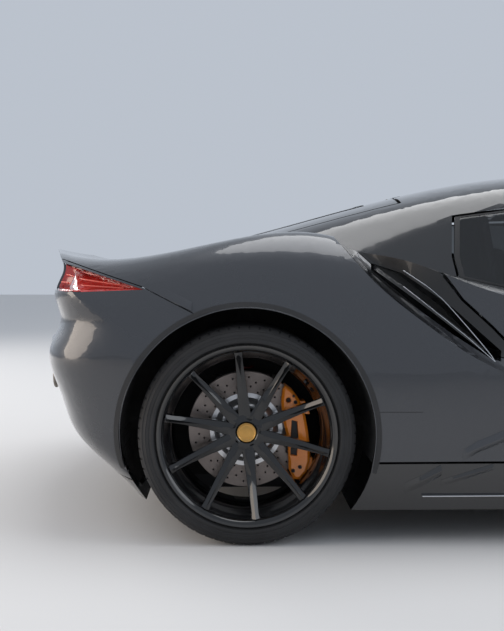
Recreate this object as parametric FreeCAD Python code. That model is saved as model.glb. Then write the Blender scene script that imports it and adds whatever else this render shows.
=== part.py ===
"""A two-seat, mid-engined supercar coupe, in millimetres.

+X points to the nose, +Y to the car's left and +Z up. The origin is on the floor, under the middle of
the car. The painted outside is one set of smooth skins, cut along the lines where the real panels meet.
"""
import FreeCAD, Part
import math
import os
from FreeCAD import Vector

os.makedirs("parts", exist_ok=True)

# Driving sizes of the whole car
LENGTH = 4410
WHEELBASE = 2630
REAR_OVERHANG = 760
HALF_WIDTH = 974
ROOF_Z = 1212
FLOOR_Z = 110
TAIL_X = -LENGTH / 2
NOSE_X = LENGTH / 2
REAR_X = TAIL_X + REAR_OVERHANG
FRONT_X = REAR_X + WHEELBASE
FAR = 3000

# Walls and gaps. A moving panel has a thin outer flange and its thicker inside steps back from the edge
PANEL = 30
LID_WALL = 26
DOOR_WALL = 100
DOOR_FLANGE = 20
ROOF_WALL = 38
GLASS = 5
FLOOR_WALL = 45
SHUT = 3
SEAT_GAP = 0.3
MOVING_GAP = 8
STEP_BACK = 12

# Wheels, tyres and the arches round them
REAR_TYRE_R = 343
REAR_TYRE_W = 305
FRONT_TYRE_R = 340
FRONT_TYRE_W = 245
ARCH_GAP = 57
SIDEWALL_INSET = 22
FRONT_TRACK_INSET = 21
LINER = 4
REAR_WHEEL_Y = HALF_WIDTH - SIDEWALL_INSET - REAR_TYRE_W / 2
FRONT_WHEEL_Y = HALF_WIDTH - FRONT_TRACK_INSET - SIDEWALL_INSET - FRONT_TYRE_W / 2
REAR_ARCH_R = REAR_TYRE_R + ARCH_GAP
FRONT_ARCH_R = FRONT_TYRE_R + ARCH_GAP
REAR_HOUSE_Y = REAR_WHEEL_Y - REAR_TYRE_W / 2 - 40
FRONT_HOUSE_Y = FRONT_WHEEL_Y - 320


def smooth_skin(rows, params):
    """A smooth face: each row is the poles of one section, and it passes through every section."""
    if params[0] > params[-1]:
        rows, params = rows[::-1], params[::-1]
    columns = []
    for points in zip(*rows):
        curve = Part.BSplineCurve()
        curve.interpolate(Points=list(points), Parameters=list(params))
        columns.append(curve)
    across = len(columns)
    degree = 3
    knots_across = [float(k) for k in range(across - degree + 1)]
    mults_across = [degree + 1] + [1] * (across - degree - 1) + [degree + 1]
    surface = Part.BSplineSurface()
    surface.buildFromPolesMultsKnots(
        [c.getPoles() for c in columns],
        mults_across,
        columns[0].getMultiplicities(),
        knots_across,
        columns[0].getKnots(),
        False,
        False,
        degree,
        columns[0].Degree,
    )
    return surface


def mirrored(half):
    """Both sides of a section whose last pole is on the centre plane."""
    other = [Vector(p.x, -p.y, p.z) for p in half[:-1]]
    return half + other[::-1]


def closed_tube(surface):
    """A solid under a skin whose two long edges lie in one flat plane."""
    skin = Part.Face(surface)
    loops = skin.OuterWire.OrderedEdges
    ends = [e for e in loops if abs(e.BoundBox.XLength) < 1]
    sides = [e for e in loops if abs(e.BoundBox.XLength) >= 1]
    caps = []
    bottoms = []
    for end in ends:
        a, b = end.Vertexes[0].Point, end.Vertexes[-1].Point
        line = Part.makeLine(a, b)
        bottoms.append(line)
        caps.append(Part.Face(Part.Wire(Part.__sortEdges__([end, line]))))
    base = Part.Face(Part.Wire(Part.__sortEdges__(sides + bottoms)))
    shell = Part.makeShell([skin, base] + caps)
    solid = Part.makeSolid(shell)
    if solid.Volume < 0:
        solid.reverse()
    return solid


def side_prism(points, low_y=0, high_y=FAR):
    """A block with an outline drawn in the side view, as (x, z) points."""
    corners = [Vector(x, low_y, z) for x, z in points]
    return Part.Face(Part.makePolygon(corners + corners[:1])).extrude(Vector(0, high_y - low_y, 0))


def plan_prism(points, low_z, high_z):
    """A block with an outline drawn in plan, as (x, y) points."""
    corners = [Vector(x, y, low_z) for x, y in points]
    return Part.Face(Part.makePolygon(corners + corners[:1])).extrude(Vector(0, 0, high_z - low_z))


def end_prism(points, low_x, high_x):
    """A block with an outline drawn in the end view, as (y, z) points."""
    corners = [Vector(low_x, y, z) for y, z in points]
    return Part.Face(Part.makePolygon(corners + corners[:1])).extrude(Vector(high_x - low_x, 0, 0))


def block(x0, x1, y0, y1, z0, z1):
    return Part.makeBox(x1 - x0, y1 - y0, z1 - z0, Vector(x0, y0, z0))


def across(radius, x, z, y0, y1):
    """A cylinder along Y."""
    return Part.makeCylinder(radius, y1 - y0, Vector(x, y0, z), Vector(0, 1, 0))


def upright(radius, x, y, z0, z1):
    """A cylinder along Z."""
    return Part.makeCylinder(radius, z1 - z0, Vector(x, y, z0))


def grown(points, by):
    """An outline with every side moved outwards by a distance, or inwards if it is negative."""
    sides = list(zip(points, points[1:] + points[:1]))
    area = sum(a[0] * b[1] - b[0] * a[1] for a, b in sides)
    turn = 1 if area > 0 else -1
    lines = []
    for a, b in sides:
        run = (b[0] - a[0], b[1] - a[1])
        length = math.hypot(*run)
        lines.append((a[0] + turn * run[1] / length * by, a[1] - turn * run[0] / length * by, *run))
    moved = []
    for (ax, ay, adx, ady), (bx, by_, bdx, bdy) in zip(lines[-1:] + lines[:-1], lines):
        t = ((bx - ax) * bdy - (by_ - ay) * bdx) / (adx * bdy - ady * bdx)
        moved.append((ax + adx * t, ay + ady * t))
    return moved


def mirror_y(shape):
    return shape.mirror(Vector(0, 0, 0), Vector(0, 1, 0))


def pair(shape):
    return [shape, mirror_y(shape)]


def save(name, shapes, smallest=3000):
    """Write a node from one shape or several, without the slivers that a cut can leave."""
    shapes = shapes if isinstance(shapes, list) else [shapes]
    solids = [s for shape in shapes for s in shape.Solids if s.Volume > smallest]
    bad = sum(1 for s in solids if not s.isValid())
    print(f"{name}: {len(solids)} solids, {sum(s.Volume for s in solids) / 1e6:.2f} litres, {bad} bad")
    shape = solids[0] if len(solids) == 1 else Part.Compound(solids)
    shape.exportStep(f"parts/{name}.step")


# The body's sections. Columns: x, then how far inside the car's widest plane the sill, the flank, the
# shoulder and the crest are, with heights: x, sill, flank, flank z, shoulder, shoulder z, crest, crest z,
# and the deck's half-width and height
BODY_SECTIONS = [
    (TAIL_X - 90, 175, 75, 520, 125, 800, 255, 1000, 440, 1000),
    (REAR_X - 425, 95, 15, 520, 70, 800, 205, 905, 560, 882),
    (REAR_X, 45, 0, 520, 50, 850, 185, 1010, 560, 905),
    (REAR_X + 230, 45, 3, 520, 50, 850, 195, 1030, 560, 900),
    (REAR_X + 560, 50, 15, 500, 45, 760, 115, 900, 640, 850),
    (REAR_X + 1000, 60, 30, 480, 50, 680, 95, 765, 700, 780),
    (FRONT_X - 900, 65, 35, 480, 55, 700, 115, 785, 700, 790),
    (FRONT_X - 350, 60, 25, 480, 50, 760, 135, 830, 620, 820),
    (FRONT_X, 60, 20, 500, 60, 770, 185, 842, 520, 770),
    (FRONT_X + 520, 75, 30, 470, 95, 650, 215, 705, 500, 650),
    (NOSE_X + 90, 115, 75, 330, 125, 420, 235, 440, 480, 400),
]


def body_tube(inset):
    """The body's long skin, from behind the tail to ahead of the nose, closed by its flat floor."""
    floor = FLOOR_Z + inset
    widest = HALF_WIDTH - inset
    rows = []
    for x, sill, flank, flank_z, shoulder, shoulder_z, crest, crest_z, deck, deck_z in BODY_SECTIONS:
        half = [
            Vector(x, widest - sill, floor),
            Vector(x, widest - flank - 8, floor + 110),
            Vector(x, widest - flank, flank_z - 100),
            Vector(x, widest - flank, flank_z + 90),
            Vector(x, widest - shoulder, shoulder_z - inset * 0.5),
            Vector(x, widest - crest + inset * 0.3, crest_z - inset),
            Vector(x, deck, deck_z + 15 - inset),
            Vector(x, deck * 0.45, deck_z - inset),
            Vector(x, 0, deck_z - inset),
        ]
        rows.append(mirrored(half))
    return closed_tube(smooth_skin(rows, [row[0] for row in BODY_SECTIONS]))


# The tail's face. Columns: height, how far ahead of the rearmost point its middle is, and how far its
# ends reach past the car's widest plane
TAIL_LEVELS = [
    (40, 330, -14),
    (190, 215, 1),
    (310, 92, 11),
    (450, 34, 16),
    (604, 0, 18),
    (690, 34, 18),
    (790, 14, 16),
    (860, 40, 14),
    (935, 22, 12),
    (1100, 50, 6),
]
# The tail in plan. Columns: distance ahead of its middle, share of its half-width
TAIL_PLAN = [(700, 1.0), (330, 0.975), (118, 0.87), (92, 0.6), (36, 0.28), (-18, 0.0)]
# The nose, as the tail
NOSE_LEVELS = [
    (40, 150, -14),
    (150, 60, -4),
    (300, 10, 4),
    (430, 0, 6),
    (560, 45, 4),
    (750, 160, 0),
    (1000, 330, -4),
]
NOSE_PLAN = [(1000, 1.0), (610, 0.96), (290, 0.87), (90, 0.63), (0, 0.32), (0, 0.0)]


def end_volume(levels, plan, tip_x, forward, inset):
    """Everything beyond the nose's or the tail's skin."""
    rows = []
    for z, back, past in levels:
        half_width = HALF_WIDTH + past - inset
        half = [
            Vector(tip_x - forward * (back + along + inset), share * half_width, z)
            for along, share in plan
        ]
        rows.append(mirrored(half))
    face = Part.Face(smooth_skin(rows, [row[0] for row in levels]))
    return face.extrude(Vector(forward * 1200, 0, 0))


# The hollow behind the haunch's front edge, which runs down and forward and fades along the door.
# Columns: x, height of its lower edge, how far inside the car's widest plane it is cut
HOLLOW_SECTIONS = [
    (REAR_X + 200, 1090, 434),
    (REAR_X + 330, 942, 394),
    (REAR_X + 400, 862, 344),
    (REAR_X + 530, 740, 214),
    (REAR_X + 690, 608, 124),
    (REAR_X + 900, 500, 92),
    (REAR_X + 1250, 430, 59),
    (REAR_X + 1700, 400, 29),
    (REAR_X + 2100, 395, -11),
]


def side_hollow(inset):
    """What the scooped door and the air intake take off the left side."""
    rows = []
    for x, low, inside in HOLLOW_SECTIONS:
        y = HALF_WIDTH - inside - inset
        low = low - inset
        rows.append([
            Vector(x, HALF_WIDTH + 176, low - 70),
            Vector(x, y + 70, low - 16),
            Vector(x, y, low + 50),
            Vector(x, y - 4, low + 190),
            Vector(x, y - 8, 1300),
        ])
    face = Part.Face(smooth_skin(rows, [row[0] for row in HOLLOW_SECTIONS]))
    return face.extrude(Vector(0, 900, 0))


def body_volume(inset):
    """The whole lower body as one solid, inset by a wall's thickness."""
    hollow = side_hollow(inset)
    tail = end_volume(TAIL_LEVELS, TAIL_PLAN, TAIL_X, -1, inset)
    nose = end_volume(NOSE_LEVELS, NOSE_PLAN, NOSE_X, 1, inset)
    return body_tube(inset).cut([tail, nose, hollow, mirror_y(hollow)])


# The cabin's sections. Columns: x, belt half-width, belt height, rail half-width, rail height, top height
CABIN_SECTIONS = [
    (FRONT_X - 60, 640, 640, 520, 660, 690),
    (FRONT_X - 255, 700, 700, 600, 762, 800),
    (FRONT_X - 620, 775, 740, 640, 925, 1000),
    (FRONT_X - 1010, 800, 745, 612, 1085, 1163),
    (REAR_X + 1290, 805, 745, 602, 1140, ROOF_Z),
    (REAR_X + 945, 800, 745, 590, 1125, 1203),
    (REAR_X + 500, 770, 760, 570, 1040, 1118),
    (REAR_X, 690, 770, 550, 910, 982),
    (REAR_X - 455, 630, 700, 510, 810, 868),
    (TAIL_X - 60, 560, 620, 460, 700, 740),
]
CABIN_BASE_Z = 600


def cabin_volume(inset):
    """The glass and roof above the belt, as one solid on a flat base inside the body."""
    rows = []
    for x, belt, belt_z, rail, rail_z, top_z in CABIN_SECTIONS:
        side_slope = (belt - rail) / (rail_z - belt_z)
        half = [
            Vector(x, belt - inset + side_slope * (belt_z - CABIN_BASE_Z) * 0.5, CABIN_BASE_Z),
            Vector(x, belt - inset, belt_z),
            Vector(x, rail + (belt - rail) * 0.45 - inset, rail_z - (rail_z - belt_z) * 0.42),
            Vector(x, rail + 22 - inset, rail_z - 34 - inset * 0.3),
            Vector(x, rail - 35 - inset * 0.8, rail_z + 34 - inset * 0.8),
            Vector(x, rail * 0.62, top_z - inset),
            Vector(x, rail * 0.3, top_z + 3 - inset),
            Vector(x, 0, top_z + 3 - inset),
        ]
        rows.append(mirrored(half))
    return closed_tube(smooth_skin(rows, [row[0] for row in CABIN_SECTIONS]))


SKIN = body_volume(0)
INSIDE = body_volume(PANEL)
DEEPER = body_volume(2 * PANEL)
LID_INSIDE = body_volume(LID_WALL)
CABIN = cabin_volume(0)
CABIN_INSIDE = cabin_volume(ROOF_WALL)
BODY_WALL = SKIN.cut(INSIDE)
GLASS_WALL = CABIN.cut(cabin_volume(GLASS))

FLOOR_TOP = FLOOR_Z + FLOOR_WALL
ABOVE_FLOOR = block(-FAR, FAR, -FAR, FAR, FLOOR_TOP, FAR)

# Wheelhouses: what the arches and the houses behind them take away, left side
REAR_HOUSE = across(REAR_ARCH_R, REAR_X, REAR_TYRE_R, REAR_HOUSE_Y - LINER, FAR)
FRONT_HOUSE = across(FRONT_ARCH_R, FRONT_X, FRONT_TYRE_R, FRONT_HOUSE_Y - LINER, FAR)
HOUSES = pair(REAR_HOUSE) + pair(FRONT_HOUSE)
FRONT_DRUM = across(FRONT_ARCH_R + LINER + SEAT_GAP, FRONT_X, FRONT_TYRE_R, FRONT_HOUSE_Y - LINER - SEAT_GAP, FAR)

# Shut lines, in side view and in plan
DOOR_FRONT_X = FRONT_X - 565
SILL_TOP_Z = 262
BONNET_REAR_X = FRONT_X - 200
BONNET_FRONT_X = FRONT_X + 690
BONNET_REAR_Y = 590
BONNET_FRONT_Y = 500
LID_FRONT_X = REAR_X + 560
LID_REAR_X = REAR_X - 440
LID_FRONT_Y = 470
LID_REAR_Y = 420
SKIRT_X = REAR_X - 300

DOOR_OUTLINE = [
    (DOOR_FRONT_X, SILL_TOP_Z),
    (DOOR_FRONT_X + 6, 560),
    (DOOR_FRONT_X - 12, 900),
    (REAR_X + 600, 900),
    (REAR_X + 694, 764),
    (REAR_X + 782, 680),
    (REAR_X + 842, 616),
    (REAR_X + 846, 420),
    (REAR_X + 820, SILL_TOP_Z),
]
SIDE_GLASS = [
    (FRONT_X - 560, 700),
    (FRONT_X - 562, 842),
    (FRONT_X - 740, 946),
    (FRONT_X - 1010, 1043),
    (FRONT_X - 1340, 1094),
    (FRONT_X - 1685, 1080),
    (REAR_X + 716, 1050),
    (REAR_X + 694, 905),
    (REAR_X + 716, 700),
]
SIDE_GLASS_X = (REAR_X + 702, DOOR_FRONT_X - 25)
# The crease where the haunch turns into the tail, from the lip down to the rear arch
CREASE = [
    (TAIL_X - 300, 925),
    (TAIL_X + 115, 905),
    (REAR_X - 332, 806),
    (REAR_X - 120, 700),
    (REAR_X + 60, 600),
]
# The intake behind the door
INTAKE = [
    (REAR_X + 800, 572),
    (REAR_X + 806, 604),
    (REAR_X + 750, 656),
    (REAR_X + 664, 738),
    (REAR_X + 516, 850),
    (REAR_X + 424, 884),
    (REAR_X + 420, 850),
    (REAR_X + 484, 786),
    (REAR_X + 654, 656),
    (REAR_X + 762, 584),
]
INTAKE_BACK_Y = 650
DUCT_WALL = 9
# The black panel over the intake, from the haunch's edge to the door. Its lower side runs in the intake
SHOULDER = [
    (REAR_X + 436, 872),
    (REAR_X + 352, 958),
    (REAR_X + 300, 1020),
    (REAR_X + 296, 1310),
    (REAR_X + 900, 1310),
    (REAR_X + 900, 560),
    (REAR_X + 790, 590),
]
TAIL_LAMP = [
    (REAR_X - 326, 798),
    (REAR_X - 530, 862),
    (TAIL_X + 115, 896),
    (TAIL_X - 60, 905),
    (TAIL_X - 60, 800),
    (REAR_X - 530, 790),
]
TAIL_LAMP_INNER_Y = 430
LAMP_LIP = 8
LAMP_RIM = 5
LAMP_RECESS = 42
DECK_LEDGE = 12
HEADLAMP_PLAN = [
    (FRONT_X + 300, 742),
    (FRONT_X + 470, 694),
    (FRONT_X + 680, 590),
    (FRONT_X + 735, 640),
    (FRONT_X + 640, 738),
    (FRONT_X + 460, 822),
]
HEADLAMP_LOW_Z = 560
BUMPER_TOP = [(FRONT_X, 560), (FRONT_X + 300, 612), (FRONT_X + 470, 636), (FRONT_X + 600, 800)]
SKIRT_EDGE = [(SKIRT_X, 187), (REAR_X - 363, 187), (TAIL_X - 60, 240)]


def mirror_outline(half):
    """A plan outline from its left half, listed from the rear forwards."""
    return half + [(x, -y) for x, y in reversed(half)]


BONNET_PLAN = mirror_outline([
    (BONNET_REAR_X, BONNET_REAR_Y), (BONNET_FRONT_X - 60, BONNET_FRONT_Y), (BONNET_FRONT_X, 250),
])
LID_PLAN = mirror_outline([(LID_REAR_X, LID_REAR_Y), (LID_FRONT_X, LID_FRONT_Y)])
DECK_PLAN = mirror_outline([(TAIL_X - 100, LID_REAR_Y - 20), (LID_REAR_X, LID_REAR_Y)])
COWL_PLAN = mirror_outline([(DOOR_FRONT_X - 20, 640), (BONNET_REAR_X + 45, BONNET_REAR_Y - 4)])
SCREEN_PLAN = [
    (FRONT_X + 100, -900), (FRONT_X + 100, 900), (FRONT_X - 560, 640), (FRONT_X - 1000, 545),
    (FRONT_X - 1035, 0), (FRONT_X - 1000, -545), (FRONT_X - 560, -640),
]
LID_WINDOW = mirror_outline([(LID_FRONT_X - 560, 290), (LID_FRONT_X - 110, 330)])

BONNET_HOLE = plan_prism(grown(BONNET_PLAN, MOVING_GAP / 2), 420, FAR)
LID_HOLE = plan_prism(grown(LID_PLAN, MOVING_GAP / 2), 600, FAR)
COWL_HOLE = plan_prism(grown(COWL_PLAN, SHUT / 2), 420, FAR)
DECK_HOLE = plan_prism(grown(DECK_PLAN, SHUT / 2), 600, FAR)
HEADLAMP_HOLE = plan_prism(HEADLAMP_PLAN, HEADLAMP_LOW_Z, FAR)
SILL_SIDE = [
    (REAR_X, 0), (REAR_X, SILL_TOP_Z - MOVING_GAP / 2), (FRONT_X, SILL_TOP_Z - MOVING_GAP / 2), (FRONT_X, 0),
]
SILL_INNER_Y = 720
SILL_HOLE = side_prism(SILL_SIDE, SILL_INNER_Y)

# Grille openings in the end views: half outlines as (y, z)
NOSE_MOUTH = [(-430, 185), (430, 185), (380, 330), (-380, 330)]
NOSE_INTAKE = [(520, 190), (770, 200), (800, 400), (610, 330)]
TAIL_MOUTH = [(-520, 600), (520, 600), (590, 745), (-590, 745)]
EXHAUST_Y = 255
EXHAUST_Z = 470
EXHAUST_R = 55
EXHAUST_FIT = 0.3

# Hinges: pins on the body, eyes on what moves
HINGE_PIN_R = 5
PIN_FIT = 0.08
EYE_WALL = 4
DOOR_HINGE_X = DOOR_FRONT_X + 84
DOOR_HINGE_Y = HALF_WIDTH - 56
DOOR_HINGE_ZS = (400, 580)
HINGE_POCKET_AHEAD = 45
BONNET_HINGE_X = BONNET_REAR_X + 18
BONNET_HINGE_Z = 766
BONNET_HINGE_YS = (-400, 400)
# How far behind its hinge the bonnet's rear edge needs room, and the lid's gap to the roof
BONNET_SWING = 68
LID_FRONT_GAP = 12
LID_HINGE_X = LID_FRONT_X + 14
LID_HINGE_Z = 1119
LID_HINGE_YS = (-300, 300)


def front_body():
    """Bumper, wings, cowl, lamps, grilles and splitter."""
    bumper_side = BUMPER_TOP + [(FAR, 800), (FAR, 0), (FRONT_X, 0)]
    mouth = end_prism(NOSE_MOUTH, FRONT_X + 500, FAR)
    intakes = pair(end_prism(NOSE_INTAKE, FRONT_X + 500, FAR))
    lamps = pair(HEADLAMP_HOLE)
    bumper = BODY_WALL.common(side_prism(bumper_side, -FAR, FAR)).common(ABOVE_FLOOR)
    save("front_bumper", bumper.cut([BONNET_HOLE, mouth] + intakes + lamps + HOUSES))

    top = [(x, z + SHUT) for x, z in reversed(BUMPER_TOP)]
    front_edge = [(x + MOVING_GAP / 2, z) for x, z in DOOR_OUTLINE[:3]]
    wing_side = [(front_edge[0][0], SILL_TOP_Z + SHUT)] + front_edge[1:] + [(DOOR_FRONT_X, 1000)]
    wing_side += [(FRONT_X + 600 - SHUT, 1000)] + top[1:] + [(FRONT_X, SILL_TOP_Z + SHUT)]
    hinge_pockets = [
        block(DOOR_HINGE_X + a, DOOR_HINGE_X + b, DOOR_HINGE_Y - 60, DOOR_HINGE_Y + depth, z - 46, z + 46)
        for z in DOOR_HINGE_ZS
        for a, b, depth in ((-22, HINGE_POCKET_AHEAD, 17), (-100, -22, 9))
    ]
    wing = BODY_WALL.common(side_prism(wing_side))
    save("wings", pair(wing.cut([BONNET_HOLE, COWL_HOLE, HEADLAMP_HOLE, FRONT_HOUSE] + hinge_pockets)))

    lamp = SKIN.cut(DEEPER).common(HEADLAMP_HOLE)
    save("headlamps", pair(lamp))

    behind = INSIDE.cut(DEEPER)
    mouths = [
        behind.common(end_prism(grown(outline, 12), FRONT_X + 500, FAR)).cut(slots(outline, 28, 14, 12))
        for outline in (NOSE_MOUTH, NOSE_INTAKE, [(-y, z) for y, z in reversed(NOSE_INTAKE)])
    ]
    save("front_grilles", [mouth.common(ABOVE_FLOOR) for mouth in mouths])

    lip = SKIN.common(block(FRONT_X + 465, FAR, -FAR, FAR, FLOOR_Z + 2, FLOOR_Z + 16))
    lip.translate(Vector(22, 0, -16))
    save("splitter", lip)


def slots(outline, pitch, gap, margin):
    """Level slots across a grille's outline, which leave its bars."""
    zs = [z for y, z in outline]
    inner = end_prism(grown(outline, -margin), -FAR, FAR)
    count = int((max(zs) - min(zs)) / pitch) + 1
    rows = [block(-FAR, FAR, -FAR, FAR, min(zs) + i * pitch, min(zs) + i * pitch + gap) for i in range(count)]
    return [inner.common(row) for row in rows]


def cowl():
    """The box section under the windscreen's foot, with the trough for the wipers ahead of it."""
    depth = 60
    trough = SKIN.cut([body_volume(depth), cabin_volume(-18)])
    trough = trough.common(block(DOOR_FRONT_X, BONNET_REAR_X + 60, -560, 560, 600, FAR))
    body = SKIN.cut(body_volume(depth + 25)).common(plan_prism(COWL_PLAN, 420, FAR))
    swing_x = BONNET_HINGE_X - BONNET_SWING
    under_bonnet = SKIN.cut(body_volume(depth)).common(block(swing_x, FAR, -FAR, FAR, 600, FAR))
    shape = body.cut([trough, under_bonnet])
    for y in BONNET_HINGE_YS:
        for side in (-1, 1):
            near = y + (7 if side > 0 else -17)
            shape = shape.fuse(block(BONNET_HINGE_X - 9, BONNET_HINGE_X + 9, near, near + 10,
                                     BONNET_HINGE_Z - 40, BONNET_HINGE_Z + 8))
        shape = shape.fuse(across(HINGE_PIN_R, BONNET_HINGE_X, BONNET_HINGE_Z, y - 17, y + 17))
    save("cowl", shape)


def bonnet():
    shape = SKIN.cut(LID_INSIDE).common(plan_prism(grown(BONNET_PLAN, -MOVING_GAP / 2), 420, FAR))
    shape = shape.cut(pair(HEADLAMP_HOLE))
    for y in BONNET_HINGE_YS:
        lug = block(BONNET_HINGE_X - 9, BONNET_HINGE_X + 9, y - 6, y + 6, BONNET_HINGE_Z, BONNET_HINGE_Z + 30)
        eye = across(HINGE_PIN_R + EYE_WALL, BONNET_HINGE_X, BONNET_HINGE_Z, y - 6, y + 6)
        shape = shape.fuse(lug.fuse(eye).common(SKIN))
        shape = shape.cut(across(HINGE_PIN_R + PIN_FIT, BONNET_HINGE_X, BONNET_HINGE_Z, y - 7, y + 7))
    save("bonnet", shape)


def engine_lid():
    """The lid over the engine with its window and louvres, hinged at the roof."""
    whole = SKIN.fuse(CABIN)
    hollow = LID_INSIDE.fuse(cabin_volume(LID_WALL))
    shape = whole.cut(hollow).common(plan_prism(grown(LID_PLAN, -MOVING_GAP / 2), 600, FAR))
    window = plan_prism(LID_WINDOW, 600, FAR)
    louvres = [
        block(LID_REAR_X + 70 + i * 56, LID_REAR_X + 96 + i * 56, -250, 250, 600, FAR) for i in range(6)
    ]
    front_gap = block(LID_FRONT_X + MOVING_GAP / 2 - LID_FRONT_GAP, FAR, -FAR, FAR, 0, FAR)
    shape = shape.cut([window, front_gap] + louvres)
    for y in LID_HINGE_YS:
        arm = block(LID_FRONT_X - 24, LID_HINGE_X, y - 8, y + 8, LID_HINGE_Z - 8, LID_HINGE_Z + 8)
        eye = across(8, LID_HINGE_X, LID_HINGE_Z, y - 8, y + 8)
        shape = shape.fuse(arm.fuse(eye))
        shape = shape.cut(across(4 + PIN_FIT, LID_HINGE_X, LID_HINGE_Z, y - 9, y + 9))
    save("engine_lid", shape)
    pane = GLASS_WALL.common(plan_prism(LID_WINDOW, 600, FAR))
    save("engine_lid_glass", pane)


def cabin():
    """Roof with its pillars, windscreen and side windows."""
    windows = pair(side_prism(SIDE_GLASS, 300))
    screen = plan_prism(SCREEN_PLAN, 0, FAR)
    pockets = [
        block(LID_FRONT_X, LID_HINGE_X + 16, y - 15, y + 15, LID_HINGE_Z - 30, FAR) for y in LID_HINGE_YS
    ]
    behind = block(-FAR, LID_REAR_X - 60, -FAR, FAR, 0, FAR)
    roof = CABIN.cut([CABIN_INSIDE, SKIN, screen, LID_HOLE, behind] + windows + pockets)
    for y in LID_HINGE_YS:
        roof = roof.fuse(across(4, LID_HINGE_X, LID_HINGE_Z, y - 18, y + 18))
    save("roof", roof)
    save("windscreen", GLASS_WALL.common(screen).cut([SKIN] + windows))


def doors():
    edge = grown(DOOR_OUTLINE, -MOVING_GAP / 2)
    flange_inside = body_volume(DOOR_FLANGE)
    panel = SKIN.cut(flange_inside).common(side_prism(edge, 690))
    core = flange_inside.cut(body_volume(DOOR_WALL)).common(side_prism(grown(edge, -STEP_BACK), 690))
    door = panel.fuse(core)
    for z in DOOR_HINGE_ZS:
        x, y = DOOR_HINGE_X, DOOR_HINGE_Y
        arm = plan_prism([
            (x - 9, y), (x + 9, y), (x + 2, y - 112), (x - 150, y - 112), (x - 150, y - 60),
            (x - 132, y - 60), (x - 132, y - 94), (x - 16, y - 94),
        ], z - 10, z + 10)
        eye = upright(HINGE_PIN_R + EYE_WALL + 1, x, y, z - 10, z + 10)
        door = door.fuse(arm.fuse(eye)).cut(upright(HINGE_PIN_R + PIN_FIT, x, y, z - 11, z + 11))
    shelf_end = block(-FAR, REAR_X + 700, 0, HALF_WIDTH - 174, SILL_TOP_Z, FAR)
    door = door.cut(shelf_end)
    pane = side_prism(grown(SIDE_GLASS, -MOVING_GAP), 300)
    pane = pane.common(block(SIDE_GLASS_X[0], SIDE_GLASS_X[1], 0, FAR, 0, FAR))
    glass = GLASS_WALL.common(pane).cut(SKIN)
    housing = block(470, 562, 905, 1085, 852, 948)
    housing = housing.makeFillet(34, housing.Edges)
    stalk = side_prism([(502, 780), (548, 780), (544, 880), (512, 880)], 795, 925)
    mirror = housing.fuse(stalk).cut(SKIN)
    for side, shapes in (("left", (door, glass, mirror)), ("right", [mirror_y(s) for s in (door, glass, mirror)])):
        save(f"door_{side}", shapes[0])
        save(f"door_glass_{side}", shapes[1])
        save(f"mirror_{side}", shapes[2])


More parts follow.
